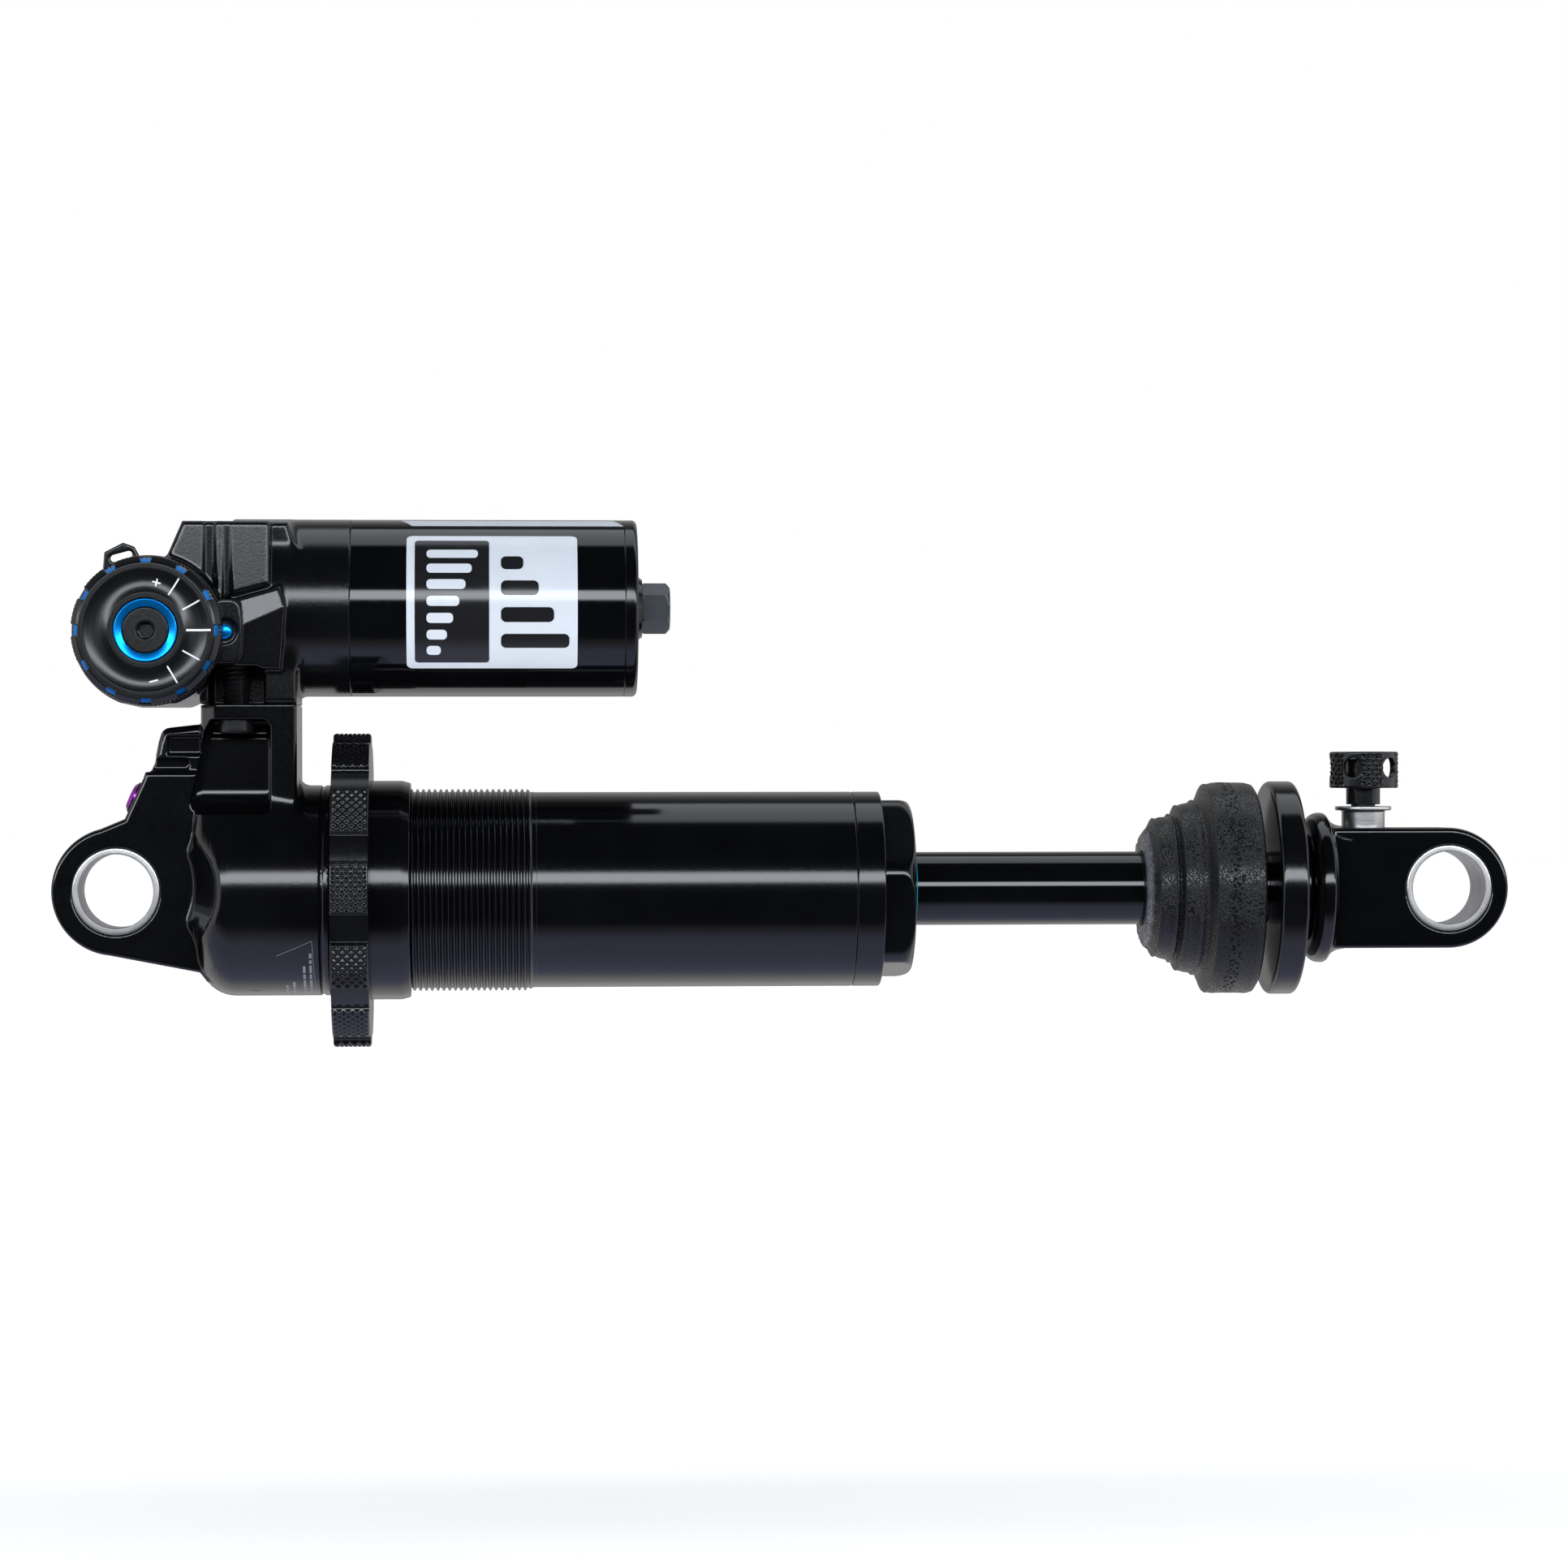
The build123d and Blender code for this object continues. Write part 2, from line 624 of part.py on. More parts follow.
def reservoir_head():
    """The cast head that stands on the tower, holding the reservoir and the compression unit."""
    body = slab(reservoir_head_outline(), -TOWER_HALF, TOWER_HALF)
    panel = block((13.0, -PANEL_HALF, 51.6), (27.1, PANEL_HALF, RES_TOP))
    rib = block((20.6, -RIB_HALF, 38.3), (28.2, RIB_HALF, 51.6))
    body += panel + rib + rod(22.0, RES_JOINT, RES_R, "X", RES_AT)
    edge = 1.2
    barrel = [
        (BARREL_FRONT, 0),
        (BARREL_FRONT, BARREL_R),
        (BARREL_BACK - edge, BARREL_R),
        (BARREL_BACK, BARREL_R - edge),
        (BARREL_BACK, 0),
    ]
    body += turned(barrel, "Y", UNIT_AT)
    body -= rod(RES_START, RES_JOINT + 1, RES_BORE_R + 0.8, "X", RES_AT)
    body -= rod(28.0, RES_START, RES_BORE_R - 0.5, "X", RES_AT)
    body -= rod(BARREL_FRONT - 1, 20.0, CARTRIDGE_R, "Y", UNIT_AT)
    body -= rod(12.0, 28.5, 2.8, "X", (0, 12.0, UNIT_Z))
    body -= rod(JOINT_Z - 1, UNIT_Z - 2, OIL_R, "Z", (OIL_X, 0, 0))
    body -= rod(12.0, OIL_X + OIL_R, OIL_R, "X", (0, 0, UNIT_Z - 2))
    body -= both_sides(block((16.1, -20, JOINT_Z - 1), (25.7, -4.5, 38.3)))
    body += block((POINTER_X - 1.3, POINTER_FACE, 39.4), (POINTER_X + 1.7, -12.0, 49.2))
    body -= rod(-20, -12.5, 0.8, "Y", (POINTER_X, 0, UNIT_Z))
    bolt_hole = rod(38.0, 46.5, 2.5, "Z", (BOLT_X, -BOLT_Y, 0))
    return body - both_sides(bolt_hole)


def reservoir_bolts():
    """Two low-headed socket screws, up against the pockets' roofs, that hold the reservoir head."""
    at = (BOLT_X, -BOLT_Y, 0)
    head = rod(POCKET_HIGH - 2.4, POCKET_HIGH, 3.6, "Z", at)
    bolt = head + rod(POCKET_HIGH, 46.0, 2.5, "Z", at)
    bolt -= hexagon(POCKET_HIGH - 3.0, POCKET_HIGH - 0.6, 3.0, "Z", at)
    return [bolt, mirror(bolt, about=Plane.XZ)]


def reservoir_tube():
    """The gas tube: a grooved neck that slips into the reservoir head, then the plain outside."""
    outer = RES_BORE_R + 0.8
    profile = [(RES_START, RES_BORE_R), (RES_START, outer)]
    for left in (34.5, 37.0):
        right = left + 1.4
        profile += [(left, outer), (left, outer - 0.5), (right, outer - 0.5), (right, outer)]
    profile += [(RES_JOINT, outer), (RES_JOINT, RES_R), (RES_CAP, RES_R), (RES_CAP, RES_BORE_R)]
    return turned(profile, "X", RES_AT)


def reservoir_end_cap():
    """The gas-side cap: a plug in the tube, a flush flange, and a boss round the valve."""
    profile = [
        (77.5, 2.1),
        (77.5, 9.0),
        (79.0, RES_BORE_R),
        (RES_CAP, RES_BORE_R),
        (RES_CAP, RES_R - 0.3),
        (RES_CAP + 0.3, RES_R),
        (RES_END - 0.8, RES_R),
        (RES_END, RES_R - 0.8),
        (RES_END, 5.4),
        (RES_END + 1.0, 5.0),
        (RES_END + 1.0, 2.1),
    ]
    return turned(profile, "X", RES_AT)


def valve_cap():
    """A hexagonal screw cap over the gas valve, chamfered round its outer end."""
    start = RES_END + 1.0 + RUN
    end = 94.8
    cap = hexagon(start, end, 7.6, "X", RES_AT)
    dome = turned([(start, 0), (start, 4.5), (end - 0.9, 4.5), (end, 3.4), (end, 0)], "X", RES_AT)
    return (cap & dome) - rod(start - 1, end - 1.2, 2.15, "X", RES_AT)


def compression_body():
    """The cartridge screwed into the barrel, with the post that the dial turns on."""
    profile = [
        (-22.0, 2.95),
        (-22.0, 5.2),
        (-19.5, 5.2),
        (-19.5, CARTRIDGE_R),
        (-1.0, CARTRIDGE_R),
        (-1.0, 6.5),
        (-4.5, 6.5),
        (-4.5, 2.95),
    ]
    body = turned(profile, "Y", UNIT_AT)
    return body - rod(-20.5, -15.0, 0.9, "Y", (UNIT_X + 7.4, 0, UNIT_Z))


def lsc_dial():
    """The dial's black cover: fluted rim with windows, a dished face and a raised hub."""
    profile = [
        (DIAL_BACK, DIAL_R - 0.5),
        (DIAL_BACK, DIAL_R - 0.2),
        (DIAL_BACK - 0.3, DIAL_R),
        (DIAL_FRONT + 0.8, DIAL_R),
        (DIAL_FRONT, 11.5),
        (DIAL_FRONT, 10.6),
        (-24.0, 9.6),
        (-22.8, 8.0),
        (-22.3, 6.4),
        (-24.8, 6.3),
        (-24.8, 5.45),
        (-21.4, 5.45),
        (-21.4, 7.0),
        (-23.6, 10.9),
        (-23.6, DIAL_R - 0.5),
    ]
    cover = turned(profile, "Y", UNIT_AT)
    pitch = 360 / DIAL_WINDOWS
    for window in range(DIAL_WINDOWS):
        opening = block((DIAL_R - 1.5, -23.2, -1.3), (DIAL_R + 1, -21.0, 1.3))
        cover -= Pos(UNIT_X, 0, UNIT_Z) * Rot(0, pitch * (window + 0.5), 0) * opening
    return cover


def dial_core():
    """The blue drum inside the cover; a groove in its back runs over the detent ball."""
    profile = [
        (-19.8, 5.3),
        (-19.8, 6.4),
        (-20.4, 6.4),
        (-20.4, 8.4),
        (-19.8, 8.4),
        (-19.8, DIAL_R - 0.55),
        (-23.55, DIAL_R - 0.55),
        (-23.55, 10.85),
        (-21.35, 6.95),
        (-21.35, 5.3),
    ]
    return turned(profile, "Y", UNIT_AT)


def hsc_screw():
    """The centre screw of the compression unit, hollow for the needle, with a hexagon socket."""
    profile = [
        (-25.2, 0),
        (-25.2, 3.5),
        (-24.9, 3.8),
        (-22.3, 3.8),
        (-22.3, 2.9),
        (-5.0, 2.9),
        (-5.0, 1.6),
        (-19.5, 1.6),
        (-19.5, 0),
    ]
    return turned(profile, "Y", UNIT_AT) - hexagon(-25.7, -22.5, 2.5, "Y", UNIT_AT)


def hsc_ring():
    """The bright ring round the compression unit's centre screw."""
    profile = [
        (-22.3, 3.85),
        (-22.3, 5.25),
        (-25.1, 5.25),
        (-25.4, 4.95),
        (-25.4, 4.1),
        (-25.15, 3.85),
    ]
    return turned(profile, "Y", UNIT_AT)


def threshold_lever():
    """A thin ring behind the dial with a small looped tab for the thumb."""
    ring = tube(LEVER_FRONT, LEVER_BACK, CARTRIDGE_R + 0.08, 12.6, "Y", UNIT_AT)
    tab = make_face(
        Polyline(
            (-1.1, 54.6), (-0.9, 57.4), (2.4, 59.1), (4.4, 58.4),
            (5.6, 55.6), (5.6, 52.0), (0.5, 52.0), close=True,
        )
    )
    tab = fillet(tab.vertices().group_by(Axis.Y)[-1] + tab.vertices().group_by(Axis.Y)[-2], 0.8)
    hole = Pos(2.0, 56.7) * Rot(0, 0, 10) * SlotOverall(3.6, 1.2)
    plate = slab(tab - hole, LEVER_FRONT, LEVER_BACK)
    return ring + (plate - rod(-30, 0, CARTRIDGE_R + 1.0, "Y", UNIT_AT))


def dial_pointer():
    """The index dot: a small domed stud in the reservoir head beside the dial."""
    face = POINTER_FACE
    profile = [(-12.5, 0), (-12.5, 0.8), (face, 0.8), (face, 1.1), (face - 0.6, 1.0), (face - 0.8, 0.6)]
    profile.append((face - 0.9, 0))
    return turned(profile, "Y", (POINTER_X, 0, UNIT_Z))


def base_valve():
    """The base valve's piston, seated in the barrel behind the cartridge."""
    body = tube(3.0, 9.0, 1.6, CARTRIDGE_R, "Y", UNIT_AT)
    ports = 6
    for port in range(ports):
        hole = rod(2.0, 10.0, 1.1, "Y", (5.8, 0, 0))
        body -= Pos(UNIT_X, 0, UNIT_Z) * Rot(0, 360 / ports * port, 0) * hole
    return body


def floating_piston():
    """The piston that keeps the reservoir's gas from its oil, dished on its gas side."""
    outer = RES_BORE_R - 0.3
    profile = [
        (52.0, 0),
        (52.0, outer - 0.6),
        (52.6, outer),
        (55.6, outer),
        (55.6, outer - 1.5),
        (57.8, outer - 1.5),
        (57.8, outer),
        (61.4, outer),
        (62.0, outer - 0.6),
        (62.0, 9.5),
        (55.0, 7.5),
        (55.0, 0),
    ]
    return turned(profile, "X", RES_AT)


def rebound_rod():
    """The metering rod down the middle of the shaft, tapered at its needle end."""
    needle = SHAFT_START + 1.0
    radius = SHAFT_BORE_R - 0.1
    end = 212.7
    return turned(
        [(needle, 0), (needle + 3.5, 1.2), (needle + 5.5, radius), (end - 2.0, radius), (end, 1.6), (end, 0)]
    )


def top_out_bumper():
    """The ring on the piston's shoulder that meets the seal head at full length."""
    return tube(SHAFT_STEP, SEAL_PLUG_START - CLEAR, SHAFT_R + RUN, 11.0)


def compression_needle():
    """The needle that the dial's thread drives in and out of the base valve."""
    back = 4.0
    profile = [(-18.0, 0), (-18.0, 1.5), (back, 1.5), (back + 3.5, 0.4), (back + 3.5, 0)]
    return turned(profile, "Y", UNIT_AT)


PIECES = {
    "damper_head": damper_head(),
    "head_eyelet_bush": eyelet_bush(0),
    "bleed_screw": bleed_screw(),
    "damper_tube": damper_tube(),
    "seal_head": seal_head(),
    "shaft_bushing": tube(BUSHING_START, PRESSURE_SEAL_START - 0.2, SHAFT_R + RUN, BUSHING_R),
    "shaft_seal": shaft_seal(),
    "shaft_wiper": shaft_wiper(),
    "seal_head_oring": o_ring((SEAL_GROOVE_START + SEAL_GROOVE_END) / 2, TUBE_BORE_R - 0.66, 1.26),
    "reservoir_head": reservoir_head(),
    "reservoir_bolts": reservoir_bolts(),
    "reservoir_tube": reservoir_tube(),
    "reservoir_orings": [o_ring(x, RES_BORE_R + 0.55, 0.48, "X", RES_AT) for x in (35.2, 37.7)],
    "reservoir_end_cap": reservoir_end_cap(),
    "fill_valve": rod(76.5, 93.0, 2.05, "X", RES_AT),
    "valve_cap": valve_cap(),
    "compression_body": compression_body(),
    "base_valve": base_valve(),
    "base_valve_shims": shim_stack(9.0, 0.3, (8.6, 7.4, 6.2, 4.0), 1.6, "Y", UNIT_AT),
    "detent_spring": rod(-17.9, -15.0, 0.7, "Y", (UNIT_X + 7.4, 0, UNIT_Z)),
    "detent_ball": Pos(UNIT_X + 7.4, -18.8, UNIT_Z) * Sphere(0.85),
    "dial_pointer": dial_pointer(),
    "floating_piston": floating_piston(),
    "floating_piston_oring": o_ring(56.7, RES_BORE_R - 0.94, 1.7, "X", RES_AT),
    "shaft": shaft(),
    "main_piston": main_piston(),
    "piston_band": tube(PISTON_LEFT + 2.55, PISTON_RIGHT - 2.05, TUBE_BORE_R - 1.4, TUBE_BORE_R - RUN),
    "compression_shims": shim_stack(
        PISTON_RIGHT, SHIM, (11.6, 10.8, 9.9, 9.0, 8.1, 7.2, 6.3, 5.6), PISTON_SEAT_R
    ),
    "rebound_shims": shim_stack(NUT_END, SHIM, (6.0, 6.4, 7.2, 8.0, 9.0, 10.0, 10.8, 11.4), PISTON_SEAT_R),
    "piston_nut": (
        hexagon(NUT_END - 4.8, NUT_END, 12.0, "X") - rod(SHAFT_START - 1, NUT_END + 1, PISTON_SEAT_R)
    ),
    "top_out_bumper": top_out_bumper(),
    "bumper": bumper(),
    "shaft_eyelet": shaft_eyelet(),
    "shaft_eyelet_bush": eyelet_bush(EYE_TO_EYE),
    "rebound_sleeve": rebound_sleeve(),
    "rebound_rod": rebound_rod(),
    "rebound_knob": rebound_knob(),
    "spring_retainer": spring_retainer(),
    "preload_collar": preload_collar(),
    "spring_guide": spring_guide(),
    "lsc_dial": lsc_dial(),
    "dial_core": dial_core(),
    "hsc_ring": hsc_ring(),
    "hsc_screw": hsc_screw(),
    "threshold_lever": threshold_lever(),
    "compression_needle": compression_needle(),
}

os.makedirs("parts", exist_ok=True)
for name, piece in PIECES.items():
    shape = Compound(children=piece) if isinstance(piece, list) else piece
    export_step(shape, f"parts/{name}.step")
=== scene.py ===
from math import acos, atan2, cos, degrees, hypot, pi, radians, sin, sqrt, tan

import bmesh
import bpy
import numpy as np
from mathutils import Matrix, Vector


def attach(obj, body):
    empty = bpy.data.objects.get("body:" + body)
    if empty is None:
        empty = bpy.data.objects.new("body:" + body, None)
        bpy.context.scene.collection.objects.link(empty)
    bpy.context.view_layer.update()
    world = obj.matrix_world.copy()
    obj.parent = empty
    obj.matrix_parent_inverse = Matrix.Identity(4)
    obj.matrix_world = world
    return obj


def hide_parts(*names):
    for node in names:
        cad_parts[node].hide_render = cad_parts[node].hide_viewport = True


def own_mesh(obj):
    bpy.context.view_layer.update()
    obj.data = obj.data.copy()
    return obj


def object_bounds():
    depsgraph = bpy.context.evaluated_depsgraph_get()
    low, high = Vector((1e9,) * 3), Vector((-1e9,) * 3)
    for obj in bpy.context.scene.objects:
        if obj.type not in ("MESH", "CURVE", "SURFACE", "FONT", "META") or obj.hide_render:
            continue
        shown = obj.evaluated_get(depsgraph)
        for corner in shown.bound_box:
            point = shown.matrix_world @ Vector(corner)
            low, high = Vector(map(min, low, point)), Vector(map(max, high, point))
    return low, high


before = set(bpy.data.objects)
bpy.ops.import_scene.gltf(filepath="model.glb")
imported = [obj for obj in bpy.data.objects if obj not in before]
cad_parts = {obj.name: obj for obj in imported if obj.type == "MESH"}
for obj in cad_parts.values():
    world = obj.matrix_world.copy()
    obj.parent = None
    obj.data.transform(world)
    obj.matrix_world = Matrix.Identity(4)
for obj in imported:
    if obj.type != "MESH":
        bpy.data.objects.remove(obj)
cad_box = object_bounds()

# ------------------------------
# The studio: a seamless pale sweep under one long strip light in front and a wide panel overhead,
# with pale boards at both ends, so that gloss black metal reads by its reflections.
studio = bpy.context.scene
studio.view_settings.view_transform = "Standard"
studio.view_settings.look = "None"

CAMERA_AT = (0.0628, -0.800, 0.0182)
CAMERA_TURN = radians(-3.706)
CAMERA_ROLL = radians(-0.08)
lens = bpy.data.cameras.new("camera")
lens.lens = 106.1
lens.sensor_width = 36.0
lens.clip_start = 0.01
camera = bpy.data.objects.new("camera", lens)
studio.collection.objects.link(camera)
camera.matrix_world = (
    Matrix.Translation(CAMERA_AT)
    @ Matrix.Rotation(CAMERA_TURN, 4, "Z")
    @ Matrix.Rotation(radians(90), 4, "X")
    @ Matrix.Rotation(CAMERA_ROLL, 4, "Z")
)
studio.camera = camera


class Nodes:
    """Short calls for wiring up a node tree."""

    def __init__(self, tree):
        self.tree = tree
        tree.nodes.clear()

    def add(self, kind, inputs=None, **settings):
        node = self.tree.nodes.new(kind)
        for key, value in settings.items():
            setattr(node, key, value)
        for key, value in (inputs or {}).items():
            if isinstance(value, bpy.types.NodeSocket):
                self.tree.links.new(value, node.inputs[key])
            else:
                node.inputs[key].default_value = value
        return node

    def math(self, operation, *values):
        return self.add("ShaderNodeMath", dict(enumerate(values)), operation=operation).outputs[0]

    def vector(self, operation, *values):
        node = self.add("ShaderNodeVectorMath", operation=operation)
        for socket, value in zip(node.inputs, values):
            if isinstance(value, bpy.types.NodeSocket):
                self.tree.links.new(value, socket)
            else:
                socket.default_value = value
        return node.outputs["Value" if operation in ("LENGTH", "DOT_PRODUCT") else "Vector"]

    def ramp(self, factor, stops):
        """A colour ramp from (place, grey or colour) stops."""
        node = self.add("ShaderNodeValToRGB", {"Fac": factor})
        points = node.color_ramp.elements
        while len(points) < len(stops):
            points.new(0.5)
        for point, (place, value) in zip(points, stops):
            colour = (value,) * 3 if isinstance(value, (int, float)) else value
            point.position = place
            point.color = (*colour[:3], 1.0)
        return node.outputs["Color"]


def round_studio(pairs):
    """Stops round the studio, from degrees above the front (-180 to 180) to places on a ramp."""
    return [((angle + 180) / 360, value) for angle, value in pairs]


TABLE = (0.56, 0.58, 0.84)
WALL = 0.38
sky = bpy.data.worlds.new("studio")
studio.world = sky
sky.use_nodes = True
n = Nodes(sky.node_tree)
ray = n.add("ShaderNodeSeparateXYZ", {0: n.add("ShaderNodeTexCoord").outputs["Generated"]})
climb = n.math("ARCTAN2", ray.outputs["Z"], n.math("MULTIPLY", ray.outputs["Y"], -1.0))
place = n.math("ADD", n.math("DIVIDE", climb, 2 * pi), 0.5)
room = n.ramp(place, round_studio([
    (-180, WALL), (-168, WALL), (-150, 0.85), (-128, 0.9), (-112, TABLE), (-60, TABLE), (-46, 0.22),
    (-40, 0.02), (0, 0.005), (30, 0.005), (86, 0.02), (126, 0.05), (140, 0.3), (155, 0.5), (168, WALL),
    (180, WALL),
]))
strip = n.ramp(place, round_studio([(8.0, 0.0), (10.5, 1.0), (19.5, 1.0), (22.5, 0.0)]))
panel = n.ramp(place, round_studio([(86, 0.0), (90, 1.0), (121, 1.0), (125, 0.0)]))
light = n.vector("ADD", room, n.vector("MULTIPLY", strip, (7.6, 8.0, 8.5)))
light = n.vector("ADD", light, n.vector("MULTIPLY", panel, (1.35, 1.43, 1.52)))
ends = n.ramp(n.math("ABSOLUTE", ray.outputs["X"]), [(0.80, 0.0), (0.93, 1.0)])
lit = n.add("ShaderNodeMix", {0: ends, 6: light, 7: (0.95, 0.95, 0.97, 1.0)}, data_type="RGBA")
unlit = n.add("ShaderNodeBackground", {"Color": (1, 1, 1, 1)})
glow = n.add("ShaderNodeBackground", {"Color": lit.outputs[2]})
straight = n.add("ShaderNodeLightPath").outputs["Is Camera Ray"]
either = n.add("ShaderNodeMixShader", {0: straight, 1: glow.outputs[0], 2: unlit.outputs[0]})
n.add("ShaderNodeOutputWorld", {"Surface": either.outputs[0]})

FLOOR_DROP = 0.075
FLOOR_REACH = 6.0
corners = [(-1, -1, 0), (1, -1, 0), (1, 1, 0), (-1, 1, 0)]
sheet = bpy.data.meshes.new("floor")
sheet.from_pydata([(FLOOR_REACH * x, FLOOR_REACH * y, z) for x, y, z in corners], [], [(0, 1, 2, 3)])
floor = bpy.data.objects.new("floor", sheet)
studio.collection.objects.link(floor)
floor.location.z = cad_box[0][2] - FLOOR_DROP
floor.visible_glossy = False
paper = bpy.data.materials.new("pale_floor")
paper.use_nodes = True
n = Nodes(paper.node_tree)
fibre = n.add("ShaderNodeTexNoise", {"Scale": 60.0, "Detail": 3.0})
tone = n.ramp(fibre.outputs["Fac"], [(0.3, 0.84), (0.7, 0.86)])
surface = n.add("ShaderNodeBsdfPrincipled", {"Base Color": tone, "Roughness": 0.9, "Emission Strength": 0.45})
surface.inputs["Emission Color"].default_value = (1, 1, 1, 1)
n.add("ShaderNodeOutputMaterial", {"Surface": surface.outputs[0]})
sheet.materials.append(paper)

# ------------------------------
# The damper head is an aluminium forging, finished on a mill and hard anodised black. A flat plate
# carries the eyelet, a round barrel holds the tube, and a tower carries the reservoir on two bolts.
MM = 0.001
PLATE_HALF = 6.35
HEAD_R = 18.1
HEAD_END = 36.5
TOWER = (14.4, 31.0)
TOWER_HALF = 12.5
JOINT_Z = 31.9
BUSH_R = 7.5
GRID = 0.25


def join(a, b, r):
    """Two solids as one, with a fillet of radius r in the corner between them."""
    inner = np.maximum(r, np.minimum(a, b))
    return inner - np.hypot(np.maximum(r - a, 0), np.maximum(r - b, 0))


def common(a, b, r):
    """Where two solids overlap, with the edge rounded to radius r."""
    outer = np.minimum(-r, np.maximum(a, b))
    return outer + np.hypot(np.maximum(r + a, 0), np.maximum(r + b, 0))


def cut(a, b, r):
    """What is left of a once b is cut away, the new edge rounded to radius r."""
    return common(a, -b, r)


def bar(p, axis, at, radius, start, end, r):
    """Distance to a round bar along one axis, its ends rounded to radius r."""
    u, v = (i for i in range(3) if i != axis)
    side = np.hypot(p[:, u] - at[0], p[:, v] - at[1]) - radius
    ends = np.abs(p[:, axis] - (start + end) / 2) - (end - start) / 2
    return common(side, ends, r)


def drawn(u, v, points):
    """Distance to a closed outline in a plane, negative inside."""
    nearest = np.full(len(u), 1e9)
    inside = np.zeros(len(u), bool)
    for (ax, ay), (bx, by) in zip(points, points[1:] + points[:1]):
        ex, ey = bx - ax, by - ay
        share = np.clip(((u - ax) * ex + (v - ay) * ey) / (ex * ex + ey * ey), 0, 1)
        nearest = np.minimum(nearest, (u - ax - share * ex) ** 2 + (v - ay - share * ey) ** 2)
        if ay != by:
            inside ^= ((ay > v) != (by > v)) & (u < ex * (v - ay) / ey + ax)
    return np.where(inside, -1, 1) * np.sqrt(nearest)


def bend(a, b, c, count=12):
    """Points from a to c along the arc that passes through b."""
    (ax, ay), (bx, by), (cx, cy) = a, b, c
    d = 2 * (ax * (by - cy) + bx * (cy - ay) + cx * (ay - by))
    sa, sb, sc = (x * x + y * y for x, y in (a, b, c))
    ux = (sa * (by - cy) + sb * (cy - ay) + sc * (ay - by)) / d
    uy = (sa * (cx - bx) + sb * (ax - cx) + sc * (bx - ax)) / d
    start, middle, end = (atan2(y - uy, x - ux) for x, y in (a, b, c))
    middle = start + (middle - start + pi) % (2 * pi) - pi
    end = middle + (end - middle + pi) % (2 * pi) - pi
    radius = hypot(ax - ux, ay - uy)
    return [(ux + radius * cos(t), uy + radius * sin(t)) for t in np.linspace(start, end, count)]


def mesh_piece(name, points, faces, sharp=40.0, weld=False):
    """A smooth-shaded object from points in millimetres and equal-sided faces, turned right side out."""
    points = np.asarray(points, float) * MM
    faces = np.asarray(faces)
    fan = [points[faces[:, i]] for i in range(faces.shape[1])]
    volume = sum(np.einsum("ij,ij->", fan[0], np.cross(fan[i], fan[i + 1])) for i in range(1, len(fan) - 1))
    if volume < 0:
        faces = faces[:, ::-1]
    mesh = bpy.data.meshes.new(name)
    mesh.vertices.add(len(points))
    mesh.vertices.foreach_set("co", points.astype(np.float32).ravel())
    mesh.loops.add(faces.size)
    mesh.loops.foreach_set("vertex_index", faces.astype(np.int32).ravel())
    mesh.polygons.add(len(faces))
    mesh.polygons.foreach_set("loop_start", np.arange(0, faces.size, faces.shape[1], dtype=np.int32))
    mesh.update(calc_edges=True)
    if weld:
        body = bmesh.new()
        body.from_mesh(mesh)
        bmesh.ops.remove_doubles(body, verts=body.verts, dist=2e-6)
        bmesh.ops.dissolve_degenerate(body, edges=body.edges, dist=1e-7)
        body.to_mesh(mesh)
        body.free()
    mesh.validate()
    mesh.shade_smooth()
    if sharp:
        mesh.set_sharp_from_angle(angle=radians(sharp))
    piece = bpy.data.objects.new(name, mesh)
    studio.collection.objects.link(piece)
    return piece


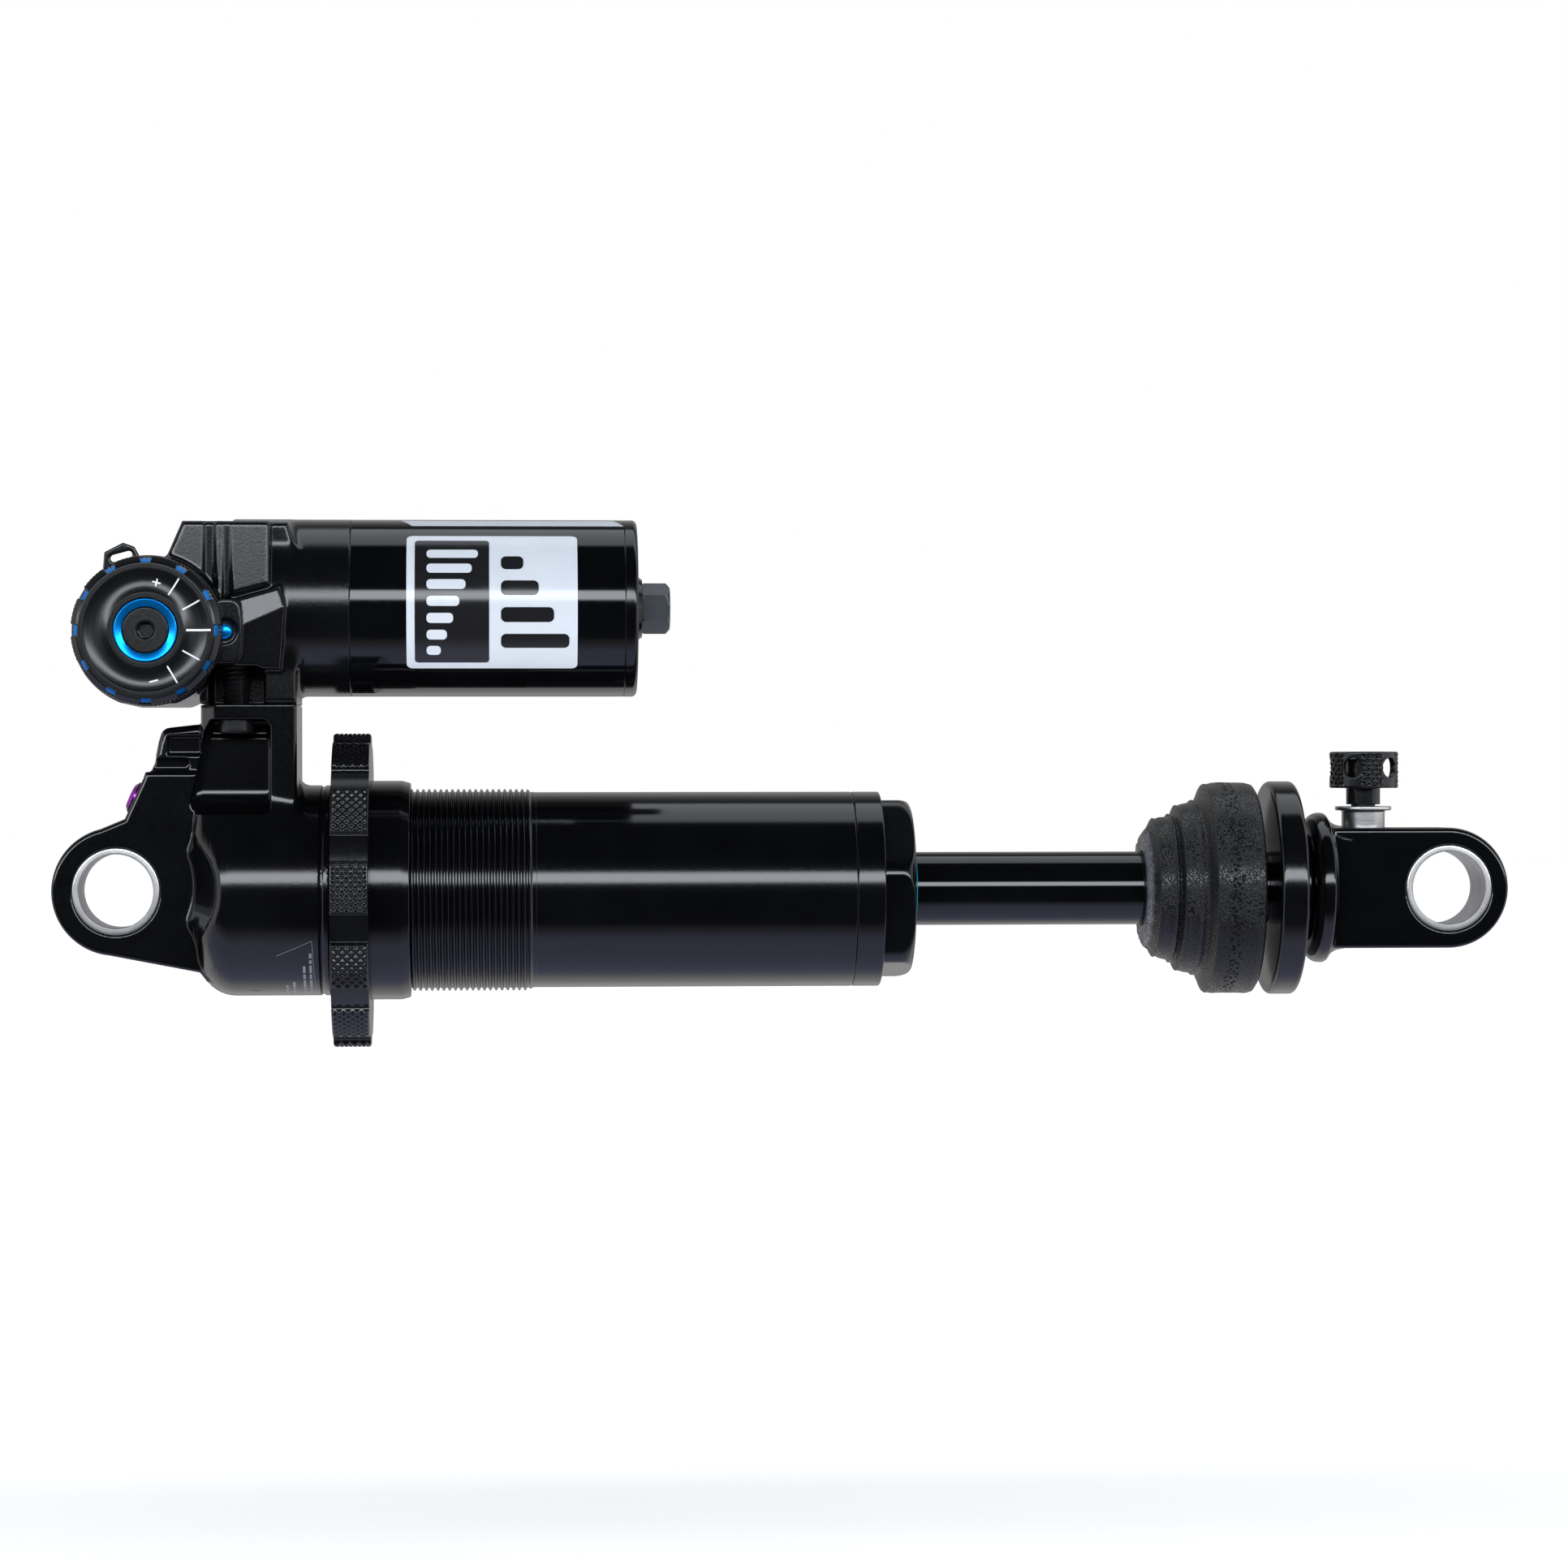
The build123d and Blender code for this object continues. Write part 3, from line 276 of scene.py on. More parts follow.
def carved(name, field, low, high, step=GRID, sharp=None):
    """Net a mesh over the surface of a solid's distance field, then settle its points onto it."""
    axes = [np.arange(a, b + step, step) for a, b in zip(low, high)]
    shape = tuple(len(a) for a in axes)
    grid = np.stack(np.meshgrid(*axes, indexing="ij"), axis=-1).reshape(-1, 3)
    values = np.concatenate([field(part) for part in np.array_split(grid, len(grid) // 300000 + 1)])
    values = values.reshape(shape)
    inside = values < 0
    cells = tuple(s - 1 for s in shape)
    total = np.zeros((*cells, 3))
    count = np.zeros(cells)
    for axis in range(3):
        others = [i for i in range(3) if i != axis]
        for du, dv in ((0, 0), (0, 1), (1, 0), (1, 1)):
            first = [slice(0, c) for c in cells]
            first[others[0]] = slice(du, cells[others[0]] + du)
            first[others[1]] = slice(dv, cells[others[1]] + dv)
            second = list(first)
            second[axis] = slice(1, cells[axis] + 1)
            va, vb = values[tuple(first)], values[tuple(second)]
            hit = inside[tuple(first)] != inside[tuple(second)]
            count += hit
            total[..., axis] += np.where(hit, va / np.where(hit, va - vb, 1), 0)
            total[..., others[0]] += hit * du
            total[..., others[1]] += hit * dv
    active = count > 0
    index = np.full(cells, -1)
    index[active] = np.arange(active.sum())
    origin = np.array([a[0] for a in axes])
    points = origin + step * (np.stack(np.nonzero(active), axis=-1) + total[active] / count[active][:, None])
    faces = []
    for axis in range(3):
        others = [i for i in range(3) if i != axis]
        first, second = [slice(None)] * 3, [slice(None)] * 3
        first[axis] = slice(0, shape[axis] - 1)
        second[axis] = slice(1, shape[axis])
        where = np.stack(np.nonzero(inside[tuple(first)] != inside[tuple(second)]), axis=-1)
        ring = []
        for du, dv in ((1, 1), (0, 1), (0, 0), (1, 0)):
            cell = where.copy()
            cell[:, others[0]] -= du
            cell[:, others[1]] -= dv
            ring.append(index[tuple(cell.T)])
        quads = np.stack(ring, axis=-1)
        outward = inside[tuple(where.T)] == (axis != 1)
        quads[~outward] = quads[~outward][:, ::-1]
        faces.append(quads)
    small = step * 0.05
    for _ in range(2):
        slope = np.stack([field(points + move) - field(points - move) for move in np.eye(3) * small], axis=-1)
        slope /= 2 * small
        steep = np.maximum((slope**2).sum(axis=1), 0.25)
        points -= np.clip((field(points) / steep)[:, None] * slope, -0.6 * step, 0.6 * step)
    return mesh_piece(name, points, np.concatenate(faces), sharp)


def dress(piece, body, slot, material, *nodes):
    """Finish a piece, put it on its body and let it stand for its CAD nodes."""
    piece.data.materials.clear()
    piece.data.materials.append(material)
    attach(piece, body)
    if nodes:
        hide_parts(*nodes)
    return piece


def finish(name, base, rough, grain=1400.0, depth=0.004, mottle=0.25, spread=0.05, rings=None, **sockets):
    """A hard finish whose colour, gloss and height all vary a little at the metal's own scale.

    rings, (axis, centre in mm), turns the grain into the fine circles that a lathe tool leaves.
    """
    material = bpy.data.materials.new(name)
    material.use_nodes = True
    n = Nodes(material.node_tree)
    where = n.add("ShaderNodeTexCoord").outputs["Object"]
    broad = n.add("ShaderNodeTexNoise", {"Vector": where, "Scale": 140.0, "Detail": 4.0, "Roughness": 0.6})
    if rings:
        axis, centre = rings
        offset = n.vector("SUBTRACT", where, tuple(c * MM for c in centre))
        flat = n.vector("MULTIPLY", offset, tuple(0.0 if i == axis else 1.0 for i in range(3)))
        along = n.add("ShaderNodeSeparateXYZ", {0: offset}).outputs[axis]
        where = n.add("ShaderNodeCombineXYZ", {0: n.vector("LENGTH", flat), 1: along}).outputs[0]
    fine = n.add("ShaderNodeTexNoise", {"Vector": where, "Scale": grain, "Detail": 5.0, "Roughness": 0.7})
    tone = n.ramp(broad.outputs["Fac"], [(0.3, [c * (1 - mottle) for c in base]),
                                         (0.7, [min(1.0, c * (1 + mottle)) for c in base])])
    gloss = n.add("ShaderNodeMapRange", {"Value": fine.outputs["Fac"], "From Min": 0.3, "From Max": 0.7,
                                         "To Min": rough - spread, "To Max": rough + spread})
    bump = n.add("ShaderNodeBump", {"Strength": 1.0, "Distance": depth * MM, "Height": fine.outputs["Fac"]})
    shader = n.add("ShaderNodeBsdfPrincipled", {
        "Base Color": tone, "Roughness": gloss.outputs[0], "Normal": bump.outputs[0], **sockets})
    n.add("ShaderNodeOutputMaterial", {"Surface": shader.outputs[0]})
    return material


forged_black = finish("forged_black", (0.0026, 0.0028, 0.0034), 0.12, grain=2600.0, depth=0.006, spread=0.04)
plate_edge = [(-5.7, 9.4), (1.5, 12.4), (4.7, 19.4), (5.0, 20.4), (24, 20.4), (24, -17.0), (15.4, -15.4),
              (14.2, -13.9), (-2.4, -10.7)]
ear_edge = [(4.9, 19.0), (6.3, 22.0), (7.0, 25.6), *bend((7.3, 26.6), (7.9, 27.7), (9.1, 28.2), 5),
            (13.6, 28.7), (24, 28.7), (24, 19.0)]
KINK = (10.4, 9.4)
shoulder_edge = [
    (14.3, 40.0), (14.3, 28.6), KINK, *bend(KINK, (13.2, 1.6), (10.9, -7.5), 16)[1:],
    (14.3, -13.8), (17.0, -24.0), (60.0, -24.0), (60.0, 40.0),
]
dome_edge = [(9.4, -5), (9.4, 5.2), (13.2, 10.2), *bend((13.9, 11.85), (15.75, 16.25), (20.2, HEAD_R)),
             (HEAD_END, HEAD_R), (HEAD_END, -5)]
POCKET_RIGHT, POCKET_LOW, POCKET_HIGH, POCKET_BACK = 26.6, 13.2, 29.3, 4.2
POCKET_RIM = 1.1
GROOVE_X, GROOVE_R = 35.2, 0.42
BOLT_HOLE_R = 2.7
TUBE_SEAT_R = 15.6
SEAT_Z = 26.3
BOLT_X, BOLT_Y = 20.7, 8.3


def head_field(p):
    x, y, z = p[:, 0], np.abs(p[:, 1]), p[:, 2]
    across = np.hypot(p[:, 1], z)
    barrel = drawn(x, across, dome_edge)
    barrel = np.maximum(barrel, GROOVE_R - np.hypot(x - GROOVE_X, across - HEAD_R - 0.16))
    slab = np.maximum(TOWER[0] - x, x - TOWER[1])
    tower = common(common(y - TOWER_HALF, slab, 1.0), -z, 0.2)
    sweep = np.interp(x, [24.0, TOWER[1]], [3.2, 2.0])
    mass = np.maximum(join(barrel, tower, sweep), z - JOINT_Z)
    mass = common(mass, np.maximum(z - JOINT_Z, -40 - z), 0.2)
    shoulder = drawn(x, z, shoulder_edge) + 0.42 * np.maximum(y - PLATE_HALF, -3.0)
    mass = common(mass, shoulder * 0.92, 0.6)
    edge = np.minimum(drawn(x, z, plate_edge), np.hypot(x, z) - 11.0)
    plate = common(edge, y - PLATE_HALF, 0.7)
    ear = common(drawn(x, z, ear_edge) + 0.2, y - PLATE_HALF + 0.6, 1.3)
    plate = join(plate, ear, 0.4)
    slot = common(common(np.abs(z - 21.8) - 1.0, x - 12.5, 0.95), PLATE_HALF - 2.6 - y, 0.3)
    window = common(common(np.abs(x - 12.0) - 3.2, np.abs(z - 24.9) - 1.6, 0.5), PLATE_HALF - 1.7 - y, 0.5)
    plate = cut(cut(plate, slot, 0.3), window, 0.45)
    body = join(plate, mass, 0.5)
    floor_and_back = common(POCKET_LOW - z, POCKET_BACK - y, 4.3)
    from_ridge = 0.98 * (KINK[0] + 0.203 * (z - KINK[1]) - x)
    sides = common(common(x - POCKET_RIGHT, z - POCKET_HIGH, 1.6), from_ridge + POCKET_RIM, 2.4)
    body = cut(body, common(floor_and_back, sides, 1.4), 0.2)
    seat = common(common(x - POCKET_RIGHT + 0.5, z - POCKET_HIGH, 1.0), SEAT_Z - z, 0.2)
    seat = common(seat, from_ridge + POCKET_RIM + 0.5, 1.0)
    body = cut(body, common(seat, POCKET_BACK - 1.6 - y, 0.8), 0.15)
    body = cut(body, np.hypot(x, z) - BUSH_R, 0.25)
    body = cut(body, bar(p, 0, (0, 0), TUBE_SEAT_R, 27.4, 60.0, 0.1), 0.4)
    bolt_hole = np.maximum(np.hypot(x - BOLT_X, y - BOLT_Y) - BOLT_HOLE_R, 26.0 - z)
    return np.maximum(body, -bolt_hole)


head = carved("head_forging", head_field, (-12, -20, -20), (38, 20, 33), step=GRID * 0.88)
dress(head, "damper", "black_anodised", forged_black, "damper_head")

# ------------------------------
# Each eyelet holds a bush: a steel shell pressed in flush, with a thin bronze-grey liner bonded
# inside it. The shells are cut from tube and their ends are turned to a small round.
EYE_TO_EYE = 230.0
EYE_BORE_R = 6.35
LINER = 0.28


def rounded(points):
    """A closed outline in which a point's third value, if it has one, rounds that corner."""
    outline = []
    for i, point in enumerate(points):
        here = np.array(point[:2], float)
        if len(point) < 3:
            outline.append(tuple(here))
            continue
        before = np.array(points[i - 1][:2]) - here
        after = np.array(points[(i + 1) % len(points)][:2]) - here
        lb, la = np.linalg.norm(before), np.linalg.norm(after)
        half = acos(np.clip(before @ after / lb / la, -1, 1)) / 2
        reach = min(point[2] / tan(half), 0.48 * lb, 0.48 * la)
        start, end = here + before / lb * reach, here + after / la * reach
        toward = before / lb + after / la
        centre = here + toward / np.linalg.norm(toward) * reach / cos(half)
        first = atan2(*(start - centre)[::-1])
        swing = (atan2(*(end - centre)[::-1]) - first + pi) % (2 * pi) - pi
        radius = reach * tan(half)
        steps = max(3, round(abs(degrees(swing)) / 9))
        for t in np.linspace(first, first + swing, steps + 1):
            outline.append((centre[0] + radius * cos(t), centre[1] + radius * sin(t)))
    return outline


def turned(name, points, along=0, at=(0, 0, 0), segments=192, step=None, shape=None, sharp=40.0):
    """Turn a closed outline of (distance along, radius) about an axis, as a lathe does.

    shape(along, radius, angle) gives each point's true radius where the piece isn't plain round.
    """
    outline = rounded(points)
    if step:
        dense = []
        for (ax, ar), (bx, br) in zip(outline, outline[1:] + outline[:1]):
            count = max(1, round(hypot(bx - ax, br - ar) / step))
            dense += [(ax + (bx - ax) * t / count, ar + (br - ar) * t / count) for t in range(count)]
        outline = dense
    d, r = (np.array(v)[:, None] for v in zip(*outline))
    angle = np.linspace(0, 2 * pi, segments, endpoint=False)[None, :]
    radius = shape(d, r, angle) if shape else r + 0 * angle
    rings = [d + 0 * angle, radius * np.cos(angle), radius * np.sin(angle)]
    order = {0: (0, 1, 2), 1: (1, 0, 2), 2: (1, 2, 0)}[along]
    points = np.stack([rings[i] for i in order], axis=-1).reshape(-1, 3) + np.array(at)
    i, j = np.meshgrid(np.arange(len(d)), np.arange(segments), indexing="ij")
    up, right = (i + 1) % len(d), (j + 1) % segments
    here, above = i * segments, up * segments
    faces = np.stack([here + j, here + right, above + right, above + j], axis=-1).reshape(-1, 4)
    return mesh_piece(name, points, faces, sharp, weld=bool((r < 1e-6).any()))


def eyelet_bush(name, x, body):
    half = PLATE_HALF
    inner = EYE_BORE_R + LINER
    shell = [(-half, BUSH_R, 0.3), (half, BUSH_R, 0.3), (half, inner), (-half, inner)]
    liner = [(-half, inner), (half, inner), (half, EYE_BORE_R, 0.25), (-half, EYE_BORE_R, 0.25)]
    rings = (1, (x, 0, 0))
    steel = finish(name + "_steel", (0.62, 0.61, 0.58), 0.30, grain=5200.0, depth=0.006, rings=rings,
                   Metallic=1.0)
    bronze = finish(name + "_bronze", (0.38, 0.37, 0.40), 0.34, grain=3000.0, depth=0.003, Metallic=0.75)
    dress(turned(name + "_shell", shell, 1, (x, 0, 0)), body, "bush_steel", steel, name)
    dress(turned(name + "_liner", liner, 1, (x, 0, 0)), body, "bush_steel", bronze)


eyelet_bush("head_eyelet_bush", 0, "damper")
eyelet_bush("shaft_eyelet_bush", EYE_TO_EYE, "shaft")

# ------------------------------
# A button-head screw closes the bleed port in the slope behind the eyelet. It is turned from
# aluminium, its socket is broached, and it is anodised purple.
purple = finish("purple_anodised", (0.33, 0.045, 0.42), 0.24, grain=1800.0, depth=0.003, Metallic=1.0)
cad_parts["bleed_screw"].data.materials.clear()
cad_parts["bleed_screw"].data.materials.append(purple)

# ------------------------------
# The body tube is cold-drawn aluminium. A fine thread is rolled on it for the spring collar, ending
# in a plain run that is ground and anodised gloss black.
THREAD = (36.7, 71.3)
THREAD_R = 17.4
THREAD_PITCH = 1.0
THREAD_DEPTH = 0.5
TUBE_R = 16.85
TUBE_END = 126.2
gloss_black = finish("gloss_black", (0.002, 0.0022, 0.003), 0.12, grain=1900.0, depth=0.0022, spread=0.03)


def threaded(d, r, angle):
    """A right-hand thread with a rounded crest, run out over one turn at its far end."""
    turn = d / THREAD_PITCH - angle / (2 * pi)
    wave = np.clip(0.5 + 0.75 * np.cos(2 * pi * turn), 0, 1)
    run_out = np.clip((THREAD[1] - d) / 1.2, 0, 1) * np.clip((d - THREAD[0]) / 0.4, 0, 1)
    return np.where(r > 16.0, r + (THREAD_R - THREAD_DEPTH - r + THREAD_DEPTH * wave) * run_out, r)


thread_run = [(28.0, 14.0), (28.0, 15.5), (HEAD_END, 15.5), (HEAD_END, TUBE_R), (THREAD[1] + 0.3, TUBE_R),
              (THREAD[1] + 0.3, 14.0)]
plain_run = [(THREAD[1] + 0.3, 14.0), (THREAD[1] + 0.3, TUBE_R), (TUBE_END, TUBE_R, 0.25), (TUBE_END, 14.0)]
coils = turned("tube_thread", thread_run, step=0.11, segments=160, shape=threaded, sharp=None)
dress(coils, "damper", "black_anodised", gloss_black, "damper_tube")
dress(turned("tube_body", plain_run), "damper", "black_anodised", gloss_black)

# ------------------------------
# The seal head screws into the tube's open end. It is turned from bar, with a flange flush with the
# tube and a rounded nose milled with six flats for its spanner. A cyan lip wipes the shaft.
SEAL_STEP = 131.0
SEAL_END = 136.5
SEAL_R = 16.0
SEAL_FLATS = 6
SEAL_FLAT_R = 14.3
SEAL_FLAT_TURN = radians(180 + 18)
SHAFT_R = 6.35


def flatted(d, r, angle):
    """The nose's radius, cut back to the flats, with a small round where flat meets land."""
    pitch = 2 * pi / SEAL_FLATS
    off = (angle - SEAL_FLAT_TURN + pitch / 2) % pitch - pitch / 2
    flat = SEAL_FLAT_R / np.cos(off)
    nose = np.where(d > SEAL_STEP + 0.02, 1.0, 0.0)
    soft = 0.12
    both = -soft * np.log(np.exp(-r / soft) + np.exp(-flat / soft))
    return np.where((nose > 0) & (r > 11), np.minimum(both, r), r)


nose = [
    (TUBE_END, 14.2), (TUBE_END, TUBE_R, 0.3), (SEAL_STEP, TUBE_R, 0.3), (SEAL_STEP, SEAL_R),
    (SEAL_STEP + 0.1, SEAL_R), (SEAL_END, SEAL_R, 2.6), (SEAL_END, 8.6, 0.3), (132.5, 8.6), (132.5, 7.0),
    (TUBE_END, 7.0),
]
cap = turned("seal_head_nose", nose, step=0.25, segments=360, shape=flatted)
dress(cap, "damper", "black_anodised", gloss_black, "seal_head")
wiper_lip = [(132.6, 6.5), (132.6, 8.5), (SEAL_END - 0.2, 8.5), (SEAL_END + 0.5, 7.4, 0.3),
             (SEAL_END + 0.8, 6.7, 0.15), (SEAL_END + 0.6, 6.42, 0.1), (SEAL_END - 0.8, 6.42)]
cyan = finish("wiper_cyan", (0.0, 0.34, 0.42), 0.38, grain=2200.0, depth=0.003)
dress(turned("wiper_lip", wiper_lip), "damper", "wiper", cyan, "shaft_wiper")

# ------------------------------
# The spring collar screws along the tube to preload the spring. Twelve diamond-knurled pads grip
# the fingers, with plain milled gaps between them, and the sleeve ahead of it centres the spring.
COLLAR = (36.9, 43.3)
COLLAR_R = 27.0
COLLAR_BORE = THREAD_R + 0.1
GAP_DEPTH = 1.1
LOBES = 12
PAD = radians(18.5)
FIRST_PAD = radians(178)
KNURL_PITCH = 1.5
KNURL_DEPTH = 0.42


def knurl(u, v, pitch, depth):
    """Height of a diamond knurl: two sets of slanting V grooves crossing."""
    a = np.abs(((u + v) / pitch) % 1 - 0.5)
    b = np.abs(((u - v) / pitch) % 1 - 0.5)
    return -depth * np.clip((np.maximum(a, b) - 0.13) / 0.37, 0, 1)


def collar_rim(d, r, angle):
    pitch = 2 * pi / LOBES
    off = np.abs((angle - FIRST_PAD + pitch / 2) % pitch - pitch / 2)
    on_pad = np.clip((PAD / 2 - off) / radians(0.9) + 0.5, 0, 1)
    inside = np.clip((d - COLLAR[0] - 0.2) / 0.3, 0, 1) * np.clip((COLLAR[1] - 0.2 - d) / 0.3, 0, 1)
    pad = r + knurl(angle * COLLAR_R, d, KNURL_PITCH, KNURL_DEPTH) * inside
    gap = np.minimum(r, COLLAR_R - GAP_DEPTH)
    return np.where(r > 24, gap + (pad - gap) * on_pad, r)


collar_outline = [
    (COLLAR[0], COLLAR_BORE), (COLLAR[0], COLLAR_R, 0.4), (COLLAR[1], COLLAR_R, 0.4), (COLLAR[1], 19.0, 0.15),
    (COLLAR[1] - 0.6, 19.0), (COLLAR[1] - 0.6, COLLAR_BORE),
]
ring = turned("collar_ring", collar_outline, step=0.16, segments=1080, shape=collar_rim, sharp=None)
knurl_black = finish("knurled_black", (0.004, 0.0042, 0.005), 0.16, grain=2000.0, depth=0.003, spread=0.04)
dress(ring, "preload_collar", "black_anodised", knurl_black, "preload_collar")
GUIDE_R = 18.85
sleeve = [(42.75, COLLAR_BORE), (42.75, GUIDE_R), (48.6, GUIDE_R, 1.5), (50.1, GUIDE_R - 0.4, 0.3),
          (50.1, COLLAR_BORE)]
dress(turned("guide_sleeve", sleeve), "spring_guide", "black_anodised", gloss_black, "spring_guide")

# ------------------------------
# The shaft is hard-chromed steel with a black low-friction coat, polished to a mirror so that its
# seals last. It screws into the far eyelet.
shaft_black = finish("shaft_black", (0.002, 0.0022, 0.003), 0.06, grain=900.0, depth=0.0006, spread=0.02)
rod = [(108.0, 2.6), (108.0, SHAFT_R, 0.2), (206.5, SHAFT_R), (206.5, 2.6)]
dress(turned("shaft_rod", rod), "shaft", "shaft_coating", shaft_black, "shaft")

# ------------------------------
# The bumper is moulded microcellular foam in growing rounded steps, so that it stiffens as it is
# crushed. Its skin is finely pored, with a ring of larger burst pores round its wide end.
bumper_steps = [(176.9, 9.2), (177.3, 9.9), (178.0, 10.6), (178.7, 11.6), (179.4, 12.0), (180.1, 12.3),
                (181.5, 12.5), (182.2, 13.1), (182.9, 14.1), (183.6, 14.5), (184.3, 14.7), (185.7, 14.9),
                (186.4, 15.7), (187.1, 17.0), (187.8, 17.8), (188.5, 18.2), (189.3, 18.35), (194.9, 18.35),
                (195.9, 18.1), (196.3, 17.5)]
BEADS = (178.9, 181.7, 182.9, 185.7, 187.9)


def foam_skin(d, r, angle):
    """A moulded skin with a fine bead at each step, slightly ragged at its narrow end where it tore."""
    wave = 0.05 * np.sin(3 * angle + d) + 0.03 * np.sin(7 * angle - 1.7 * d)
    beads = sum(0.40 * np.exp(-(((d - bead) / 0.26) ** 2)) for bead in BEADS)
    hollow = -0.55 * np.exp(-(((d - 182.3) / 0.4) ** 2)) - 0.7 * np.exp(-(((d - 186.8) / 0.6) ** 2))
    ragged = np.clip((178.4 - d) / 1.2, 0, 1)
    chips = 0.35 * np.sin(11 * angle + 2) * np.sin(5 * angle) + 0.2 * np.sin(23 * angle)
    return np.where(r > 8.0, r + wave + beads + hollow + ragged * (chips - 0.1), r)


foam_outline = [(177.0, SHAFT_R + 0.2), *bumper_steps, (196.4, SHAFT_R + 0.2)]
foam = turned("bumper_foam", foam_outline, step=0.25, segments=480, shape=foam_skin, sharp=None)
rubber = bpy.data.materials.new("foam_rubber")
rubber.use_nodes = True
n = Nodes(rubber.node_tree)
where = n.add("ShaderNodeTexCoord").outputs["Object"]
cells = n.add("ShaderNodeTexVoronoi", {"Vector": where, "Scale": 3500.0, "Randomness": 1.0})
walls = n.ramp(cells.outputs["Distance"], [(0.25, 0.0), (0.62, 1.0)])
cloud = n.add("ShaderNodeTexNoise", {"Vector": where, "Scale": 260.0, "Detail": 3.0})
burst = n.add("ShaderNodeTexVoronoi", {"Vector": where, "Scale": 1500.0, "Randomness": 1.0})
along = n.add("ShaderNodeSeparateXYZ", {0: where}).outputs[0]
band = n.math("ABSOLUTE", n.math("SUBTRACT", along, 0.1911))
near = n.add("ShaderNodeMapRange", {
    "Value": band, "From Min": 0.0007, "From Max": 0.0022, "To Min": 0.42, "To Max": 0.0})
pore_mask_and_shade = n.math("GREATER_THAN", burst.outputs["Distance"], near.outputs[0])
# The cell pits are painted about five times darker than the cell walls: painted shade in the pits.
skin = n.ramp(walls, [(0.0, (0.001, 0.001, 0.0012)), (1.0, (0.0055, 0.0055, 0.0065))])
shade = n.ramp(cloud.outputs["Fac"], [(0.35, 0.62), (0.65, 1.15)])
# The colour at the narrow cut end is up to 26 times paler: a painted sheen of the smooth cut face.
cut_end_sheen = n.add("ShaderNodeMapRange", {
    "Value": along, "From Min": 0.1774, "From Max": 0.1780, "To Min": 26.0, "To Max": 1.0})
pale = n.add("ShaderNodeCombineXYZ", {i: cut_end_sheen.outputs[0] for i in range(3)})
shade = n.vector("MULTIPLY", shade, pale.outputs[0])
dark = n.vector("MULTIPLY", skin, shade)
# Inside the larger burst pores the colour is painted black: painted shade in the holes. The same mask also
# sets their roughness and bump.
final = n.vector("MULTIPLY", dark, n.add("ShaderNodeCombineXYZ", {0: pore_mask_and_shade, 1: pore_mask_and_shade, 2: pore_mask_and_shade}).outputs[0])
gloss = n.ramp(walls, [(0.0, 0.5), (1.0, 0.24)])
pits = n.math("MULTIPLY", walls, pore_mask_and_shade)
rough = n.math("MAXIMUM", gloss, n.math("SUBTRACT", 1.0, pore_mask_and_shade))
bump = n.add("ShaderNodeBump", {"Strength": 1.0, "Distance": 0.00005, "Height": pits})
body = n.add("ShaderNodeBsdfPrincipled", {
    "Base Color": final, "Roughness": rough, "Specular IOR Level": 0.45, "Normal": bump.outputs[0]})
n.add("ShaderNodeOutputMaterial", {"Surface": body.outputs[0]})
dress(foam, "shaft", "foam", rubber, "bumper")
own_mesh(foam)

# ------------------------------
# The spring retainer is a slotted disc, turned and then milled, that drops over the shaft once the
# spring is pushed clear and is held by it against the far eyelet's flange.
RETAINER = (198.7, 203.5)
RETAINER_R = 18.55
SLOT_HALF = 6.55


def retainer_field(p):
    x, y, z = p[:, 0], p[:, 1], p[:, 2]
    across = np.hypot(y, z)
    rim = common(RETAINER[0] - x, across - RETAINER_R, 0.9)
    disc = common(rim, x - RETAINER[1], 0.8)
    hub = common(across - 9.5, np.maximum(x - 205.7, 200.0 - x), 0.4)
    body = cut(join(disc, hub, 0.5), across - SHAFT_R - 0.1, 0.3)
    return cut(body, common(np.abs(z) - SLOT_HALF, -y, 0.01), 0.4)


retainer = carved("retainer_disc", retainer_field, (198, -19.2, -19.2), (206.4, 19.2, 19.2), sharp=None)
dress(retainer, "spring_retainer", "black_anodised", forged_black, "spring_retainer")

# ------------------------------
# The far eyelet is turned and milled from one bar: a flange for the spring retainer, a waisted neck,
# and a flat-sided block whose edges are broken before it is anodised gloss black.
FLANGE = 206.0
EYE_R = 10.45
KNOB_X = 216.1
SLEEVE_R = 3.75
BLOCK_X = 209.9
neck_edge = [(FLANGE, -5), *bend((FLANGE, 10.8), (206.55, 12.2), (208.3, 12.85), 8), (208.6, 12.85),
             *bend((208.9, 12.7), (209.8, 11.5), (211.3, 10.7), 8), (213.0, 10.4), (213.0, -5)]


def eyelet_field(p):
    x, y, z = p[:, 0], p[:, 1], p[:, 2]
    across = np.hypot(y, z)
    neck = common(drawn(x, across, neck_edge) - 0.2, np.minimum(np.abs(y) - PLATE_HALF, x - BLOCK_X), 0.35)
    low = np.maximum(BLOCK_X - 1.0 - x, np.abs(z) - EYE_R)
    block_edge = np.minimum(np.maximum(low, x - EYE_TO_EYE), np.hypot(x - EYE_TO_EYE, z) - EYE_R)
    block = common(block_edge, np.abs(y) - PLATE_HALF, 0.75)
    body = join(neck, block, 0.15)
    body = cut(body, np.hypot(x - EYE_TO_EYE, z) - BUSH_R, 0.3)
    body = cut(body, np.maximum(np.hypot(x - KNOB_X, y) - SLEEVE_R, 7.0 - z), 0.15)
    return np.maximum(body, -np.maximum(across - SHAFT_R, x - 206.5))


gloss_forged = finish("gloss_forged", (0.002, 0.0022, 0.0028), 0.10, grain=2200.0, depth=0.004, spread=0.03)
eyelet = carved("shaft_eyelet_block", eyelet_field, (205.4, -13.4, -13.4), (241.2, 13.4, 13.4))
dress(eyelet, "shaft", "black_anodised", gloss_forged, "shaft_eyelet")

